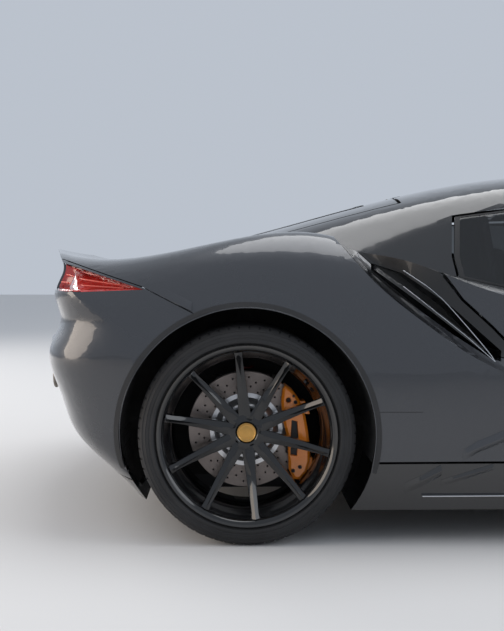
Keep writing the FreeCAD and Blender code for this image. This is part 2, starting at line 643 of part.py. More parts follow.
def rear_body():
    """Quarters, intakes and their shoulders, rear deck, bumper, grille, lamps, diffuser, exhaust tips."""
    above = [(x, z + SHUT) for x, z in CREASE]
    door_edge = [(x - MOVING_GAP / 2, z - 3) for x, z in reversed(DOOR_OUTLINE[4:8])]
    quarter_side = above + [(REAR_X + 60, SILL_TOP_Z + SHUT)]
    quarter_side += [(DOOR_OUTLINE[-1][0] - MOVING_GAP / 2, SILL_TOP_Z + SHUT)] + door_edge
    quarter_side += [(REAR_X + 596, 892), (REAR_X + 570, 1300), (TAIL_X - 300, 1300)]
    intake = side_prism(INTAKE, 560)
    side = BODY_WALL.common(side_prism(quarter_side)).cut([CABIN_INSIDE, intake, DECK_HOLE, LID_HOLE, REAR_HOUSE])
    save("quarters", pair(side.cut(side_prism(grown(SHOULDER, SHUT)))))

    above_crease = side_prism(quarter_side, -FAR, FAR)
    deck = BODY_WALL.common(above_crease).common(plan_prism(DECK_PLAN, 600, FAR))
    ledge = INSIDE.cut(body_volume(PANEL + DECK_LEDGE)).common(above_crease)
    ledge = ledge.common(plan_prism(grown(DECK_PLAN, DECK_LEDGE), 600, FAR))
    save("rear_deck", deck.fuse(ledge).cut(LID_HOLE))

    duct = INSIDE.common(side_prism(grown(INTAKE, DUCT_WALL), INTAKE_BACK_Y - DUCT_WALL - 1))
    duct = duct.cut(side_prism(INTAKE, INTAKE_BACK_Y))
    shoulder = side.common(side_prism(SHOULDER))
    blade_line = [(REAR_X + 432, 862), (REAR_X + 444, 869), (REAR_X + 752, 612), (REAR_X + 745, 603)]
    blade = SKIN.common(side_prism(blade_line, INTAKE_BACK_Y - 5))
    save("side_intakes", pair(shoulder.fuse([duct, blade])))

    bumper_side = CREASE + [(REAR_X + 60, 187)] + SKIRT_EDGE[:2] + [(TAIL_X - 60, 240), (TAIL_X - 300, 240)]
    lamp_hole = side_prism(TAIL_LAMP, TAIL_LAMP_INNER_Y)
    mouth = end_prism(TAIL_MOUTH, -FAR, REAR_X - 400)
    exhausts = [
        Part.makeCylinder(EXHAUST_R + EXHAUST_FIT, 600, Vector(TAIL_X - 100, y, EXHAUST_Z), Vector(1, 0, 0))
        for y in (-EXHAUST_Y, EXHAUST_Y)
    ]
    tunnel_y = 600
    ramp_end = (TAIL_X - 60, 272)
    ramp_side = [(SKIRT_X, FLOOR_Z), (SKIRT_X, FLOOR_Z + 20), (ramp_end[0], ramp_end[1] + 20), ramp_end]
    under_bumper = side_prism(
        grown(ramp_side[1:3] + [(ramp_end[0], 0), (SKIRT_X, 0)], SEAT_GAP), -tunnel_y - 20.3, tunnel_y + 20.3
    )
    bumper = BODY_WALL.common(side_prism(bumper_side, -FAR, FAR))
    save("rear_bumper", bumper.cut(pair(lamp_hole) + [mouth, under_bumper] + exhausts + HOUSES))

    lamp = body_volume(LAMP_LIP).cut(body_volume(LAMP_RECESS + 22)).common(lamp_hole)
    well = SKIN.cut(body_volume(LAMP_RECESS))
    well = well.common(side_prism(grown(TAIL_LAMP, -LAMP_RIM), TAIL_LAMP_INNER_Y + LAMP_RIM))
    save("tail_lamps", pair(lamp.cut(well)))

    slab = INSIDE.cut(DEEPER).common(end_prism(grown(TAIL_MOUTH, 12), -FAR, REAR_X - 400))
    save("rear_grille", slab.cut(slots(TAIL_MOUTH, 26, 14, 10)))

    tips = []
    for y in (-EXHAUST_Y, EXHAUST_Y):
        start = Vector(TAIL_X + 42, y, EXHAUST_Z)
        tube = Part.makeCylinder(EXHAUST_R, 300, start, Vector(1, 0, 0))
        tips.append(tube.cut(Part.makeCylinder(EXHAUST_R - 5, 280, start, Vector(1, 0, 0))))
    save("exhaust_tips", tips)

    skirt = BODY_WALL.common(side_prism([(SKIRT_X, 0)] + [(x, z - SHUT) for x, z in SKIRT_EDGE]
                                        + [(TAIL_X - 60, 0)], -FAR, FAR))
    under_ramp = side_prism([(SKIRT_X + 10, FLOOR_Z), ramp_end, (TAIL_X - 60, 0), (SKIRT_X + 10, 0)],
                            -tunnel_y, tunnel_y)
    skirt = skirt.cut([under_ramp] + HOUSES)
    ramp = side_prism(ramp_side, -tunnel_y - 20, tunnel_y + 20).common(SKIN)
    parts = [ramp]
    for y in (-tunnel_y - 6, -400, -200, 0, 200, 400, tunnel_y + 6):
        fin = side_prism([(SKIRT_X - 60, FLOOR_Z), (SKIRT_X - 60, FLOOR_Z + 30), (ramp_end[0], ramp_end[1] + 8),
                          (ramp_end[0], 128)], y - 5, y + 5)
        parts.append(fin.common(SKIN))
    save("diffuser", skirt.fuse(parts).cut(HOUSES))


def lower_body():
    """Floor plate, sills and wheelhouse liners."""
    slab = SKIN.common(block(SKIRT_X + SHUT, FAR, -FAR, FAR, FLOOR_Z, FLOOR_TOP))
    save("floor", slab.cut(HOUSES + pair(SILL_HOLE)))
    sill = SKIN.common(SILL_HOLE).cut([REAR_HOUSE, FRONT_HOUSE])
    save("sills", pair(sill))
    liners = []
    sill_room = side_prism(grown(SILL_SIDE, SEAT_GAP), SILL_INNER_Y - SEAT_GAP)
    for x, radius, r_arch, house_y in (
        (REAR_X, REAR_TYRE_R, REAR_ARCH_R, REAR_HOUSE_Y),
        (FRONT_X, FRONT_TYRE_R, FRONT_ARCH_R, FRONT_HOUSE_Y),
    ):
        drum = across(r_arch + LINER, x, radius, house_y - LINER, FAR)
        space = across(r_arch, x, radius, house_y, FAR)
        arms = [block(x - 115, x + 115, 0, house_y + 10, z - 30, z + 50) for z in (LOWER_ARM_Z, UPPER_ARM_Z)]
        shaft = across(70, x, radius, 0, house_y + 10)
        liner = drum.cut([space, shaft, sill_room] + arms).common(INSIDE).common(ABOVE_FLOOR)
        liners += pair(liner)
    save("arch_liners", liners)


# Suspension. The kingpin is inboard of the front wheel's middle plane
KINGPIN_IN = 56
LOWER_ARM_Z = 215
UPPER_ARM_Z = 450
ARM_THICK = 25
RAIL_INNER_Y = 400
RAIL_OUTER_Y = 450
POST_X = (60, 100)
KINGPIN_R = 10
SPINDLE_R = 22

# The wheel across its width, from its middle plane outwards
DISC_R = 188
DISC_Y = (-25, 5)
HUB_R = 72
HUB_FACE_Y = 78
BORE_END_Y = 36
RIM_FLANGE_R = 285
CALIPER_Y = (-50, 30)
CALIPER_SLOT_Y = (-31, 11)
CALIPER_R = (112, 226)
CALIPER_SLOT_R = 197
CALIPER_ANGLE = 38


def wishbone(x, outer_y, z):
    """A flat A-arm from the frame to its outer joint, left side."""
    outer = [(x - 95, RAIL_OUTER_Y), (x + 95, RAIL_OUTER_Y), (x + 24, outer_y), (x - 24, outer_y)]
    inner = [(x - 64, RAIL_OUTER_Y - 1), (x + 64, RAIL_OUTER_Y - 1), (x + 10, outer_y - 70), (x - 10, outer_y - 70)]
    arm = plan_prism(outer, z, z + ARM_THICK).cut(plan_prism(inner, z - 1, z + ARM_THICK + 1))
    return arm.fuse(upright(24, x, outer_y, z, z + ARM_THICK))


def caliper(x, y, z):
    """A caliper round the disc's forward edge, with its bridge outside it. y is the wheel's middle plane."""
    ring = across(CALIPER_R[1], x, z, y + CALIPER_Y[0], y + CALIPER_Y[1])
    ring = ring.cut(across(CALIPER_R[0], x, z, y + CALIPER_Y[0] - 1, y + CALIPER_Y[1] + 1))
    ring = ring.cut(across(CALIPER_SLOT_R, x, z, y + CALIPER_SLOT_Y[0], y + CALIPER_SLOT_Y[1]))
    reach = 400
    tilt = math.radians(CALIPER_ANGLE)
    wedge = side_prism([
        (x, z), (x + reach * math.cos(tilt), z - reach * math.sin(tilt)),
        (x + reach * math.cos(tilt), z + reach * math.sin(tilt)),
    ], 0, FAR)
    return ring.common(wedge)


def knuckle_core(x, y, z, low, high, depth):
    """The upright block, its bearing boss and the bracket that carries the caliper."""
    inner = y - KINGPIN_IN - 20
    post = block(x - 24, x + 24, inner, inner + depth, low, high)
    boss = across(46, x, z, inner, y + DISC_Y[0] - 6)
    bracket = block(x, x + 140, y + CALIPER_Y[0], y + CALIPER_SLOT_Y[0], z - 32, z + 32)
    return post.fuse([boss, bracket, caliper(x, y, z)])


def front_suspension():
    kingpin_y = FRONT_WHEEL_Y - KINGPIN_IN
    play = 1
    low = LOWER_ARM_Z + ARM_THICK
    pins = [upright(KINGPIN_R, FRONT_X, kingpin_y, low, low + 26),
            upright(KINGPIN_R, FRONT_X, kingpin_y, UPPER_ARM_Z - 26, UPPER_ARM_Z)]
    arms = [wishbone(FRONT_X, kingpin_y, LOWER_ARM_Z).fuse(pins[0]),
            wishbone(FRONT_X, kingpin_y, UPPER_ARM_Z).fuse(pins[1])]
    save("front_suspension", [s for arm in arms for s in pair(arm)])
    knuckle = knuckle_core(FRONT_X, FRONT_WHEEL_Y, FRONT_TYRE_R, low + play, UPPER_ARM_Z - play, 40)
    knuckle = knuckle.fuse(across(SPINDLE_R, FRONT_X, FRONT_TYRE_R, kingpin_y, FRONT_WHEEL_Y + BORE_END_Y - 1))
    knuckle = knuckle.cut([upright(KINGPIN_R + PIN_FIT, FRONT_X, kingpin_y, low, low + 27),
                           upright(KINGPIN_R + PIN_FIT, FRONT_X, kingpin_y, UPPER_ARM_Z - 27, UPPER_ARM_Z)])
    save("knuckle_left", knuckle)
    save("knuckle_right", mirror_y(knuckle))


def rear_suspension():
    inner = REAR_WHEEL_Y - KINGPIN_IN - 20
    core = knuckle_core(REAR_X, REAR_WHEEL_Y, REAR_TYRE_R, LOWER_ARM_Z, UPPER_ARM_Z + ARM_THICK, 40)
    arms = [wishbone(REAR_X, inner + 20, z) for z in (LOWER_ARM_Z, UPPER_ARM_Z)]
    bore = across(SPINDLE_R + PIN_FIT, REAR_X, REAR_TYRE_R, 0, FAR)
    save("rear_suspension", pair(core.fuse(arms).cut(bore)))


def revolved(profile):
    """A ring about the Y axis from (radius, y) points."""
    corners = [Vector(r, y, 0) for r, y in profile]
    return Part.Face(Part.makePolygon(corners + corners[:1])).revolve(Vector(0, 0, 0), Vector(0, 1, 0), 360)


def wheel(tyre_width, dish):
    """Rim, ten spokes, hub and disc in one, centred on the origin with its outer side at +Y."""
    half = tyre_width / 2 - 2
    flange = RIM_FLANGE_R
    rim = revolved([
        (flange, half), (flange, half - 9), (flange - 19, half - 13), (flange - 20, half - 42),
        (flange - 40, half - 66), (flange - 40, 80 - half), (flange - 20, 42 - half),
        (flange - 19, 13 - half), (flange, 9 - half), (flange, -half), (flange - 13, -half),
        (flange - 28, 15 - half), (flange - 30, 44 - half), (flange - 49, 84 - half), (flange - 49, half - 72),
        (flange - 30, half - 44), (flange - 28, half - 15), (flange - 13, half - 3), (flange - 9, half),
    ])
    hub = revolved([
        (0, DISC_Y[0]), (DISC_R, DISC_Y[0]), (DISC_R, DISC_Y[1]), (HUB_R + 14, DISC_Y[1]),
        (HUB_R + 6, HUB_FACE_Y - 34), (HUB_R, HUB_FACE_Y - 4), (HUB_R - 12, HUB_FACE_Y),
        (34, HUB_FACE_Y), (32, HUB_FACE_Y - 9), (0, HUB_FACE_Y - 7),
    ])
    face, tip = HUB_FACE_Y, half - 16
    side = [
        Vector(50, 0, face - 3), Vector(130, 0, face + 3), Vector(205, 0, face + dish * 0.42),
        Vector(flange - 24, 0, tip), Vector(flange - 24, 0, tip - 24), Vector(205, 0, face + dish * 0.42 - 28),
        Vector(130, 0, face - 24), Vector(50, 0, face - 34),
    ]
    profile = [Vector(v.x, v.z, -60) for v in side]
    web = Part.Face(Part.makePolygon(profile + profile[:1])).extrude(Vector(0, 0, 120))
    taper = [Vector(45, -60, -21), Vector(flange, -60, -13), Vector(flange, -60, 13), Vector(45, -60, 21)]
    spoke = web.common(Part.Face(Part.makePolygon(taper + taper[:1])).extrude(Vector(0, 400, 0)))
    spokes = []
    for i in range(SPOKES):
        turned = spoke.copy()
        turned.rotate(Vector(0, 0, 0), Vector(0, 1, 0), -(SPOKE_PHASE + 360 * i / SPOKES))
        spokes.append(turned)
    return rim.fuse([hub] + spokes)


SPOKES = 10
SPOKE_PHASE = 24


def tyre(radius, width):
    half = width / 2
    bead = RIM_FLANGE_R
    return revolved([
        (bead - 19.9, half - 42), (bead - 19, half - 15), (bead + 0.5, half - 11.2), (bead + 3, half - 6),
        (bead + 20, half), (radius - 22, half - 4), (radius - 7, half - 13), (radius, half - 34),
        (radius, 34 - half), (radius - 7, 13 - half), (radius - 22, 4 - half), (bead + 20, -half),
        (bead + 3, 6 - half), (bead + 0.5, 11.2 - half), (bead - 19, 15 - half), (bead - 19.9, 42 - half),
        (bead - 4, 40 - half), (radius - 24, 22 - half), (radius - 15, 46 - half),
        (radius - 15, half - 46), (radius - 24, half - 22), (bead - 4, half - 40),
    ])


def wheels():
    bore = across(SPINDLE_R + PIN_FIT, 0, 0, DISC_Y[0] - 1, BORE_END_Y)
    front = wheel(FRONT_TYRE_W, FRONT_TYRE_W / 2 - 7 - HUB_FACE_Y).cut(bore)
    shaft_end = GEARBOX_Y - 29 - REAR_WHEEL_Y
    rear = wheel(REAR_TYRE_W, REAR_TYRE_W / 2 - 7 - HUB_FACE_Y).fuse(across(SPINDLE_R, 0, 0, shaft_end, 0))
    for name, shape, rubber, x, y, z in (
        ("front", front, tyre(FRONT_TYRE_R, FRONT_TYRE_W), FRONT_X, FRONT_WHEEL_Y, FRONT_TYRE_R),
        ("rear", rear, tyre(REAR_TYRE_R, REAR_TYRE_W), REAR_X, REAR_WHEEL_Y, REAR_TYRE_R),
    ):
        shape.translate(Vector(x, y, z))
        rubber.translate(Vector(x, y, z))
        save(f"wheel_{name}_left", shape)
        save(f"wheel_{name}_right", mirror_y(shape))
        save(f"tyre_{name}_left", rubber)
        save(f"tyre_{name}_right", mirror_y(rubber))


# The tub, the engine and the cabin's fittings
FRONT_BULKHEAD_X = (DOOR_FRONT_X + 140, DOOR_FRONT_X + 180)
REAR_BULKHEAD_X = (REAR_X + 805, REAR_X + 845)
BULKHEAD_Y = SILL_INNER_Y - 42
SEAT_Y = 375
SEAT_W = 470
GEARBOX_Y = 180
ENGINE_Y = 320


def tub():
    """Bulkheads, tunnel, door pillars, seat rails and the frames that carry the suspension."""
    x0, x1 = FRONT_BULKHEAD_X
    front = block(x0, x1, -SILL_INNER_Y, SILL_INNER_Y, FLOOR_TOP, 735).common(DEEPER)
    r0, r1 = REAR_BULKHEAD_X
    wall = block(r0, r1, -BULKHEAD_Y, BULKHEAD_Y, FLOOR_TOP, FAR)
    window = block(r0 - 1, r1 + 1, -330, 330, 900, 1080)
    ducts = pair(side_prism(grown(INTAKE, DUCT_WALL + SEAT_GAP), INTAKE_BACK_Y - DUCT_WALL - 1 - SEAT_GAP))
    rear = wall.common(INSIDE).fuse(wall.common(CABIN_INSIDE)).cut([window] + ducts)
    tunnel = block(r1, x0, -95, 95, FLOOR_TOP, 330)
    parts = [front.cut(pair(FRONT_DRUM)), rear, tunnel]
    for side in (-1, 1):
        for x, top, length in (
            (FRONT_X, UPPER_ARM_Z + 30, (x1, FRONT_X + 700)),
            (REAR_X, UPPER_ARM_Z + 30, (SKIRT_X + 10, r0)),
        ):
            ys = sorted((side * RAIL_INNER_Y, side * RAIL_OUTER_Y))
            parts.append(block(length[0], length[1], ys[0], ys[1], FLOOR_TOP, FLOOR_TOP + 55))
            for a, b in ((-POST_X[1], -POST_X[0]), POST_X):
                parts.append(block(x + a, x + b, ys[0], ys[1], FLOOR_TOP, top))
        for y in (SEAT_Y - 150, SEAT_Y + 150):
            ys = sorted((side * (y - 15), side * (y + 15)))
            parts.append(block(r1, 120, ys[0], ys[1], FLOOR_TOP, FLOOR_TOP + 30))
    pillar = block(x0 - 24, x1 + 18, SILL_INNER_Y - 60, DOOR_HINGE_Y + 12, FLOOR_TOP, 735).common(INSIDE)
    pillar = pillar.cut([FRONT_DRUM, SILL_HOLE])
    lugs = []
    for z in DOOR_HINGE_ZS:
        for low in (z - 36, z + 11):
            lug = upright(HINGE_PIN_R + EYE_WALL + 1, DOOR_HINGE_X, DOOR_HINGE_Y, low, low + 25)
            root_x = DOOR_HINGE_X + HINGE_POCKET_AHEAD - 2
            lugs.append(lug.fuse(block(DOOR_HINGE_X, root_x, DOOR_HINGE_Y - 9, DOOR_HINGE_Y + 10, low, low + 25)))
        lugs.append(upright(HINGE_PIN_R, DOOR_HINGE_X, DOOR_HINGE_Y, z - 30, z + 30))
    pillar = pillar.fuse(lugs)
    whole = parts[0].fuse(parts[1:] + pair(pillar))
    save("tub", whole)


def engine():
    """The engine and gearbox as one plain block, with the sockets of the half shafts."""
    block_engine = block(REAR_X + 190, REAR_X + 720, -ENGINE_Y, ENGINE_Y, FLOOR_TOP, 700)
    heads = [side_prism([(REAR_X + 230, 700), (REAR_X + 250, 800), (REAR_X + 640, 800), (REAR_X + 660, 700)], a, b)
             for a, b in ((-250, -90), (90, 250))]
    gearbox = block(REAR_X - 230, REAR_X + 200, -GEARBOX_Y, GEARBOX_Y, FLOOR_TOP, 520)
    sockets = pair(across(SPINDLE_R + PIN_FIT, REAR_X, REAR_TYRE_R, GEARBOX_Y - 30, GEARBOX_Y + 1))
    save("engine", block_engine.fuse([gearbox] + heads).cut(sockets))


def interior():
    low = FLOOR_TOP + 30.3
    back = REAR_BULKHEAD_X[1] + 6
    seat = side_prism([
        (back + 70, low), (back + 560, low), (back + 600, low + 130), (back + 580, low + 165),
        (back + 260, low + 120), (back + 190, low + 150), (back + 90, low + 640), (back + 75, low + 790),
        (back + 12, low + 790), (back + 18, low + 600), (back + 60, low + 200),
    ], SEAT_Y - SEAT_W / 2, SEAT_Y + SEAT_W / 2)
    save("seats", pair(seat))
    x0 = FRONT_BULKHEAD_X[0]
    dash_side = [
        (x0, 722), (x0 - 170, 722), (x0 - 190, 736), (x0 - 260, 720), (x0 - 300, 650), (x0 - 270, 560), (x0 - 120, 520), (x0, 520),
    ]
    dash = side_prism(dash_side, -SILL_INNER_Y + 60, SILL_INNER_Y - 60).common(DEEPER)
    save("dashboard", dash)
    centre = Vector(x0 - 400, SEAT_Y, 640)
    tilt = Vector(-1, 0, 0.42).normalize()
    ring = Part.makeTorus(172, 15, centre, tilt)
    boss = Part.makeCylinder(45, 40, centre - tilt * 30, tilt)
    column = Part.makeCylinder(22, 160, centre - tilt * 170, tilt)
    spokes = []
    for turn in (0, 110, 250):
        spoke = block(20, 165, -13, 13, -8, 8)
        spoke.Placement = FreeCAD.Placement(centre, FreeCAD.Rotation(Vector(0, 0, 1), tilt))
        spoke.rotate(centre, tilt, turn)
        spokes.append(spoke)
    wheel_and_column = ring.fuse([boss, column] + spokes)
    save("steering_wheel", wheel_and_column.cut(side_prism(dash_side, -FAR, FAR)))


for build in (
    lower_body, front_body, cowl, bonnet, cabin, doors, engine_lid, rear_body, tub, engine, interior,
    front_suspension, rear_suspension, wheels,
):
    build()
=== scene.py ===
"""A two-seat, mid-engined supercar coupe in dark grey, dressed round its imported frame.

Everything is in metres: +X points to the nose, +Y to the car's left and +Z up.
"""
import math

import bmesh
import bpy
from mathutils import Matrix, Vector
from mathutils.bvhtree import BVHTree


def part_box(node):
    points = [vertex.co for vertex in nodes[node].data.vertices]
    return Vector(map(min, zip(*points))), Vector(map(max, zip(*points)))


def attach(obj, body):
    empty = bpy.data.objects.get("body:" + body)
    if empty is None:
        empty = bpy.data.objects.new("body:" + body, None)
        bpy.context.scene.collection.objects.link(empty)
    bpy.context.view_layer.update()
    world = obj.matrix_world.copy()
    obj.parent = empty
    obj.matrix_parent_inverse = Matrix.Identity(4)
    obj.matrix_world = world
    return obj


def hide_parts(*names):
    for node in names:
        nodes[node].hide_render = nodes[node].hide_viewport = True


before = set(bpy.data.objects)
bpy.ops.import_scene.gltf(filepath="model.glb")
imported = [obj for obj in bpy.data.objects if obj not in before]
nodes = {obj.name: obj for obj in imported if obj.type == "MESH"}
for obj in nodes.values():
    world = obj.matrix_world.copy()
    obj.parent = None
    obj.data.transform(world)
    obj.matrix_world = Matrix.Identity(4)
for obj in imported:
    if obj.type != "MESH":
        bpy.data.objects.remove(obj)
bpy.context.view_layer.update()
scene = bpy.context.scene

# The place: a wide, flat studio floor painted pale grey, four large round lamps and an even, cool sky.
# The camera stands low beside the right rear wheel, as it stood when the photograph was taken.
scene.view_settings.view_transform = "Standard"
FLOOR_COLOUR = (0.68, 0.675, 0.67, 1)
SKY_COLOUR = (0.80, 0.87, 0.98, 1)
SKY_STRENGTH = 0.62


def take(*pieces):
    """Leaves just these pieces selected, the last of them active."""
    if bpy.context.mode != "OBJECT":
        bpy.ops.object.mode_set(mode="OBJECT")
    bpy.ops.object.select_all(action="DESELECT")
    for piece in pieces:
        piece.select_set(True)
        bpy.context.view_layer.objects.active = piece


class Finish:
    """A material in the making: its shader's settings, and patterns laid over the piece's own places."""

    def __init__(self, name, **settings):
        self.material = bpy.data.materials.new(name)
        self.material.use_nodes = True
        self.tree = self.material.node_tree
        self.shader = self.tree.nodes["Principled BSDF"]
        for key, value in settings.items():
            self.shader.inputs[key.replace("_", " ")].default_value = value
        self.place = self.tree.nodes.new("ShaderNodeTexCoord").outputs["Object"]

    def node(self, kind, source=None, socket="Vector", **values):
        """Adds a node that is fed by a source, or by the piece's places."""
        made = self.tree.nodes.new(kind)
        self.tree.links.new(self.place if source is None else source, made.inputs[socket])
        for key, value in values.items():
            made.inputs[key].default_value = value
        return made

    def noise(self, scale, detail=2.0):
        """A cloudy pattern."""
        return self.node("ShaderNodeTexNoise", Scale=scale, Detail=detail).outputs["Fac"]

    def drive(self, source, socket):
        """Lets a source set one of the shader's values."""
        self.tree.links.new(source, self.shader.inputs[socket])

    def tones(self, pattern, low, high, ends=(0.0, 1.0)):
        """Colours between two tones, by a pattern."""
        ramp = self.node("ShaderNodeValToRGB", pattern, "Fac")
        for element, colour, end in zip(ramp.color_ramp.elements, (low, high), ends):
            element.color = [*colour, 1]
            element.position = end
        self.drive(ramp.outputs["Color"], "Base Color")

    def gloss(self, pattern, low, high):
        """Roughness between two values, by a pattern."""
        spread = self.node("ShaderNodeMapRange", pattern, "Value")
        spread.inputs["To Min"].default_value = low
        spread.inputs["To Max"].default_value = high
        self.drive(spread.outputs["Result"], "Roughness")

    def relief(self, pattern, strength, distance, socket="Normal"):
        """Fine relief, by a pattern."""
        bump = self.node("ShaderNodeBump", pattern, "Height", Strength=strength, Distance=distance)
        self.drive(bump.outputs["Normal"], socket)


take()
bpy.ops.mesh.primitive_plane_add(size=60, location=(0, 0, 0))
ground = bpy.context.object
ground.name = "studio_floor"
ground.data.materials.append(Finish("studio_floor", Base_Color=FLOOR_COLOUR, Roughness=0.85).material)

sky = bpy.data.worlds.new("studio")
scene.world = sky
sky.use_nodes = True
sky.node_tree.nodes["Background"].inputs["Color"].default_value = SKY_COLOUR
sky.node_tree.nodes["Background"].inputs["Strength"].default_value = SKY_STRENGTH

for name, place, target, size, power, tint in (
    ("lamp_low_sun", (-9.0, -1.6, 2.6), (-1.9, -0.5, 0.6), 6.5, 330, (1.0, 0.86, 0.72)),
    ("lamp_front", (6.5, -3.5, 4.6), (0.5, 0, 0.6), 5.5, 130, (0.93, 0.96, 1.0)),
    ("lamp_behind", (-6.5, 5.0, 4.0), (-0.8, 0, 0.7), 4.0, 160, (1.0, 0.97, 0.94)),
    ("lamp_over", (0, 0.5, 6.5), (0, 0, 0), 5.5, 190, (1.0, 1.0, 1.0)),
):
    light = bpy.data.lights.new(name, "AREA")
    light.shape = "DISK"
    light.size = size
    light.energy = power
    light.color = tint
    lamp = bpy.data.objects.new(name, light)
    lamp.location = place
    lamp.rotation_euler = (Vector(target) - Vector(place)).to_track_quat("-Z", "Y").to_euler()
    scene.collection.objects.link(lamp)

REAR_AXLE_X = sum(c.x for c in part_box("tyre_rear_right")) / 2
FRONT_AXLE_X = sum(c.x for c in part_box("tyre_front_right")) / 2
EYE_BEHIND_AXLE = 0.059
EYE_HEIGHT = 0.86
EYE_OUT = 3.0
LENS_MM = 55.2
LENS_SHIFT = (0.038, -0.072)
camera_data = bpy.data.cameras.new("camera")
camera_data.lens = LENS_MM
camera_data.shift_x, camera_data.shift_y = LENS_SHIFT
camera = bpy.data.objects.new("camera", camera_data)
camera.location = (REAR_AXLE_X - EYE_BEHIND_AXLE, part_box("tyre_rear_right")[0].y - EYE_OUT, EYE_HEIGHT)
camera.rotation_euler = (math.pi / 2, 0, 0)
scene.collection.objects.link(camera)
scene.camera = camera

# The brakes: iron discs, drilled and turned flat, on silver hats that the hubs hold. Ten bobbins join each
# disc to its hat and let it grow with heat.
SIDES = (("left", 1), ("right", -1))
HUB_PLACES = {}
for end in ("front", "rear"):
    for side, sign in SIDES:
        low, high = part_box(f"tyre_{end}_{side}")
        HUB_PLACES[end, side] = ((Vector(low) + Vector(high)) / 2, sign)


def open_mesh():
    """Opens the active piece's mesh for editing, with all of it selected."""
    bpy.ops.object.mode_set(mode="EDIT")
    bpy.ops.mesh.select_all(action="SELECT")


def close_mesh(outward=False):
    """Closes the mesh. Its faces are first turned outwards where that is asked."""
    if outward:
        bpy.ops.mesh.select_all(action="SELECT")
        bpy.ops.mesh.normals_make_consistent(inside=False)
    bpy.ops.object.mode_set(mode="OBJECT")


def placed():
    """The new active piece, with its place, turn and size applied to its mesh."""
    bpy.ops.object.transform_apply(location=True, rotation=True, scale=True)
    return bpy.context.object


def turned(profile, at=(0, 0, 0), axis=1, corners=64, cap=False):
    """A piece turned about an axis through a place. The profile's points are (radius, distance along it)."""
    at = Vector(at)
    along = Vector([1.0 if i == axis else 0.0 for i in range(3)])
    radius, height = profile[0]
    take()
    bpy.ops.mesh.primitive_circle_add(
        vertices=corners, radius=radius, location=at + along * height,
        rotation=((0, math.pi / 2, 0), (-math.pi / 2, 0, 0))[axis], fill_type="NGON" if cap else "NOTHING",
    )
    piece = placed()
    bpy.ops.object.mode_set(mode="EDIT")
    bpy.ops.mesh.select_mode(type="EDGE")
    bpy.ops.mesh.select_all(action="SELECT")
    for next_radius, next_height in profile[1:]:
        bpy.ops.mesh.extrude_edges_move(
            TRANSFORM_OT_translate={"value": along * (next_height - height)}
        )
        ratio = next_radius / radius
        bpy.ops.transform.resize(
            value=[1.0 if i == axis else ratio for i in range(3)], center_override=at + along * next_height
        )
        radius, height = max(next_radius, 1e-6), next_height
    bpy.ops.mesh.select_all(action="SELECT")
    bpy.ops.mesh.remove_doubles(threshold=2e-5)
    close_mesh(outward=True)
    return piece


def apply_modifier(piece, kind, **settings):
    """Adds a modifier to a piece and applies it."""
    take(piece)
    modifier = piece.modifiers.new(kind.lower(), kind)
    for key, value in settings.items():
        setattr(modifier, key, value)
    bpy.ops.object.modifier_apply(modifier=modifier.name)


def copy_of(piece, turn=0.0, flip=False):
    """A copy with its own mesh, turned about the Y axis or mirrored to the other side of the car."""
    take(piece)
    bpy.ops.object.duplicate(linked=False)
    bpy.context.object.matrix_world = Matrix.Rotation(turn, 4, "Y") @ piece.matrix_world
    made = placed()
    if flip:
        open_mesh()
        bpy.ops.transform.resize(value=(1, -1, 1), center_override=(0, 0, 0))
        bpy.ops.mesh.flip_normals()
        close_mesh()
    return made


def drop(*pieces):
    """Removes pieces that have done their work."""
    for piece in pieces:
        bpy.data.objects.remove(piece)


def joined(*pieces):
    """Several pieces made one."""
    take(*pieces)
    bpy.ops.object.join()
    return bpy.context.object


def ring_of(piece, degrees):
    """A ring of copies of a piece round the Y axis, made one. The piece itself is removed."""
    ring = joined(*[copy_of(piece, turn=math.radians(angle)) for angle in degrees])
    drop(piece)
    return ring


def pin(radius, length, at, corners):
    """A plain round pin along Y, to cut a hole with."""
    take()
    bpy.ops.mesh.primitive_cylinder_add(vertices=corners, radius=radius, depth=length, location=at,
                                        rotation=(math.pi / 2, 0, 0))
    return bpy.context.object


def carved(piece, cutter, solver="EXACT"):
    """Cuts one piece out of another."""
    apply_modifier(piece, "BOOLEAN", object=cutter, operation="DIFFERENCE", solver=solver)
    drop(cutter)
    return piece


def fitted(piece, name, body, material, smooth=35, replaces=()):
    """Finishes a piece: its name, smooth faces, material and body; the nodes it replaces are hidden."""
    take(piece)
    placed()
    bpy.ops.object.shade_smooth_by_angle(angle=math.radians(smooth))
    piece.name = name
    piece.data.materials.clear()
    piece.data.materials.append(material)
    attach(piece, body)
    if replaces:
        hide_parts(*replaces)
    return piece


def finish_of(name, colour, rough=0.5, metal=0.0, grain=None, mottle=0.0, coat=0.0, axle=None, **more):
    """A material with slightly uneven colour and gloss. Its grain is (size a metre, depth).

    On a face round an axle it shows the rings that turning leaves.
    """
    finish = Finish(name, Metallic=metal, Coat_Weight=coat, Coat_Roughness=0.04, **more)
    cloud = finish.noise(9.0, 4.0)
    low, high = [c * (1 - mottle) for c in colour], [min(c * (1 + mottle), 1) for c in colour]
    finish.tones(cloud, low, high, (0.35, 0.68))
    finish.gloss(cloud, rough * 0.88, min(rough * 1.12, 1))
    if grain:
        finish.relief(finish.noise(grain[0], 3.0), grain[1], 0.0006)
    if axle:
        centred = finish.node("ShaderNodeMapping", Location=(-axle.x, 0, -axle.z), Scale=(1, 0, 1))
        rings = finish.node("ShaderNodeTexWave", centred.outputs["Vector"], Scale=220, Distortion=0.6)
        rings.wave_type = "RINGS"
        rings.rings_direction = "SPHERICAL"
        finish.relief(rings.outputs["Fac"], 0.25, 0.0004)
    return finish.material


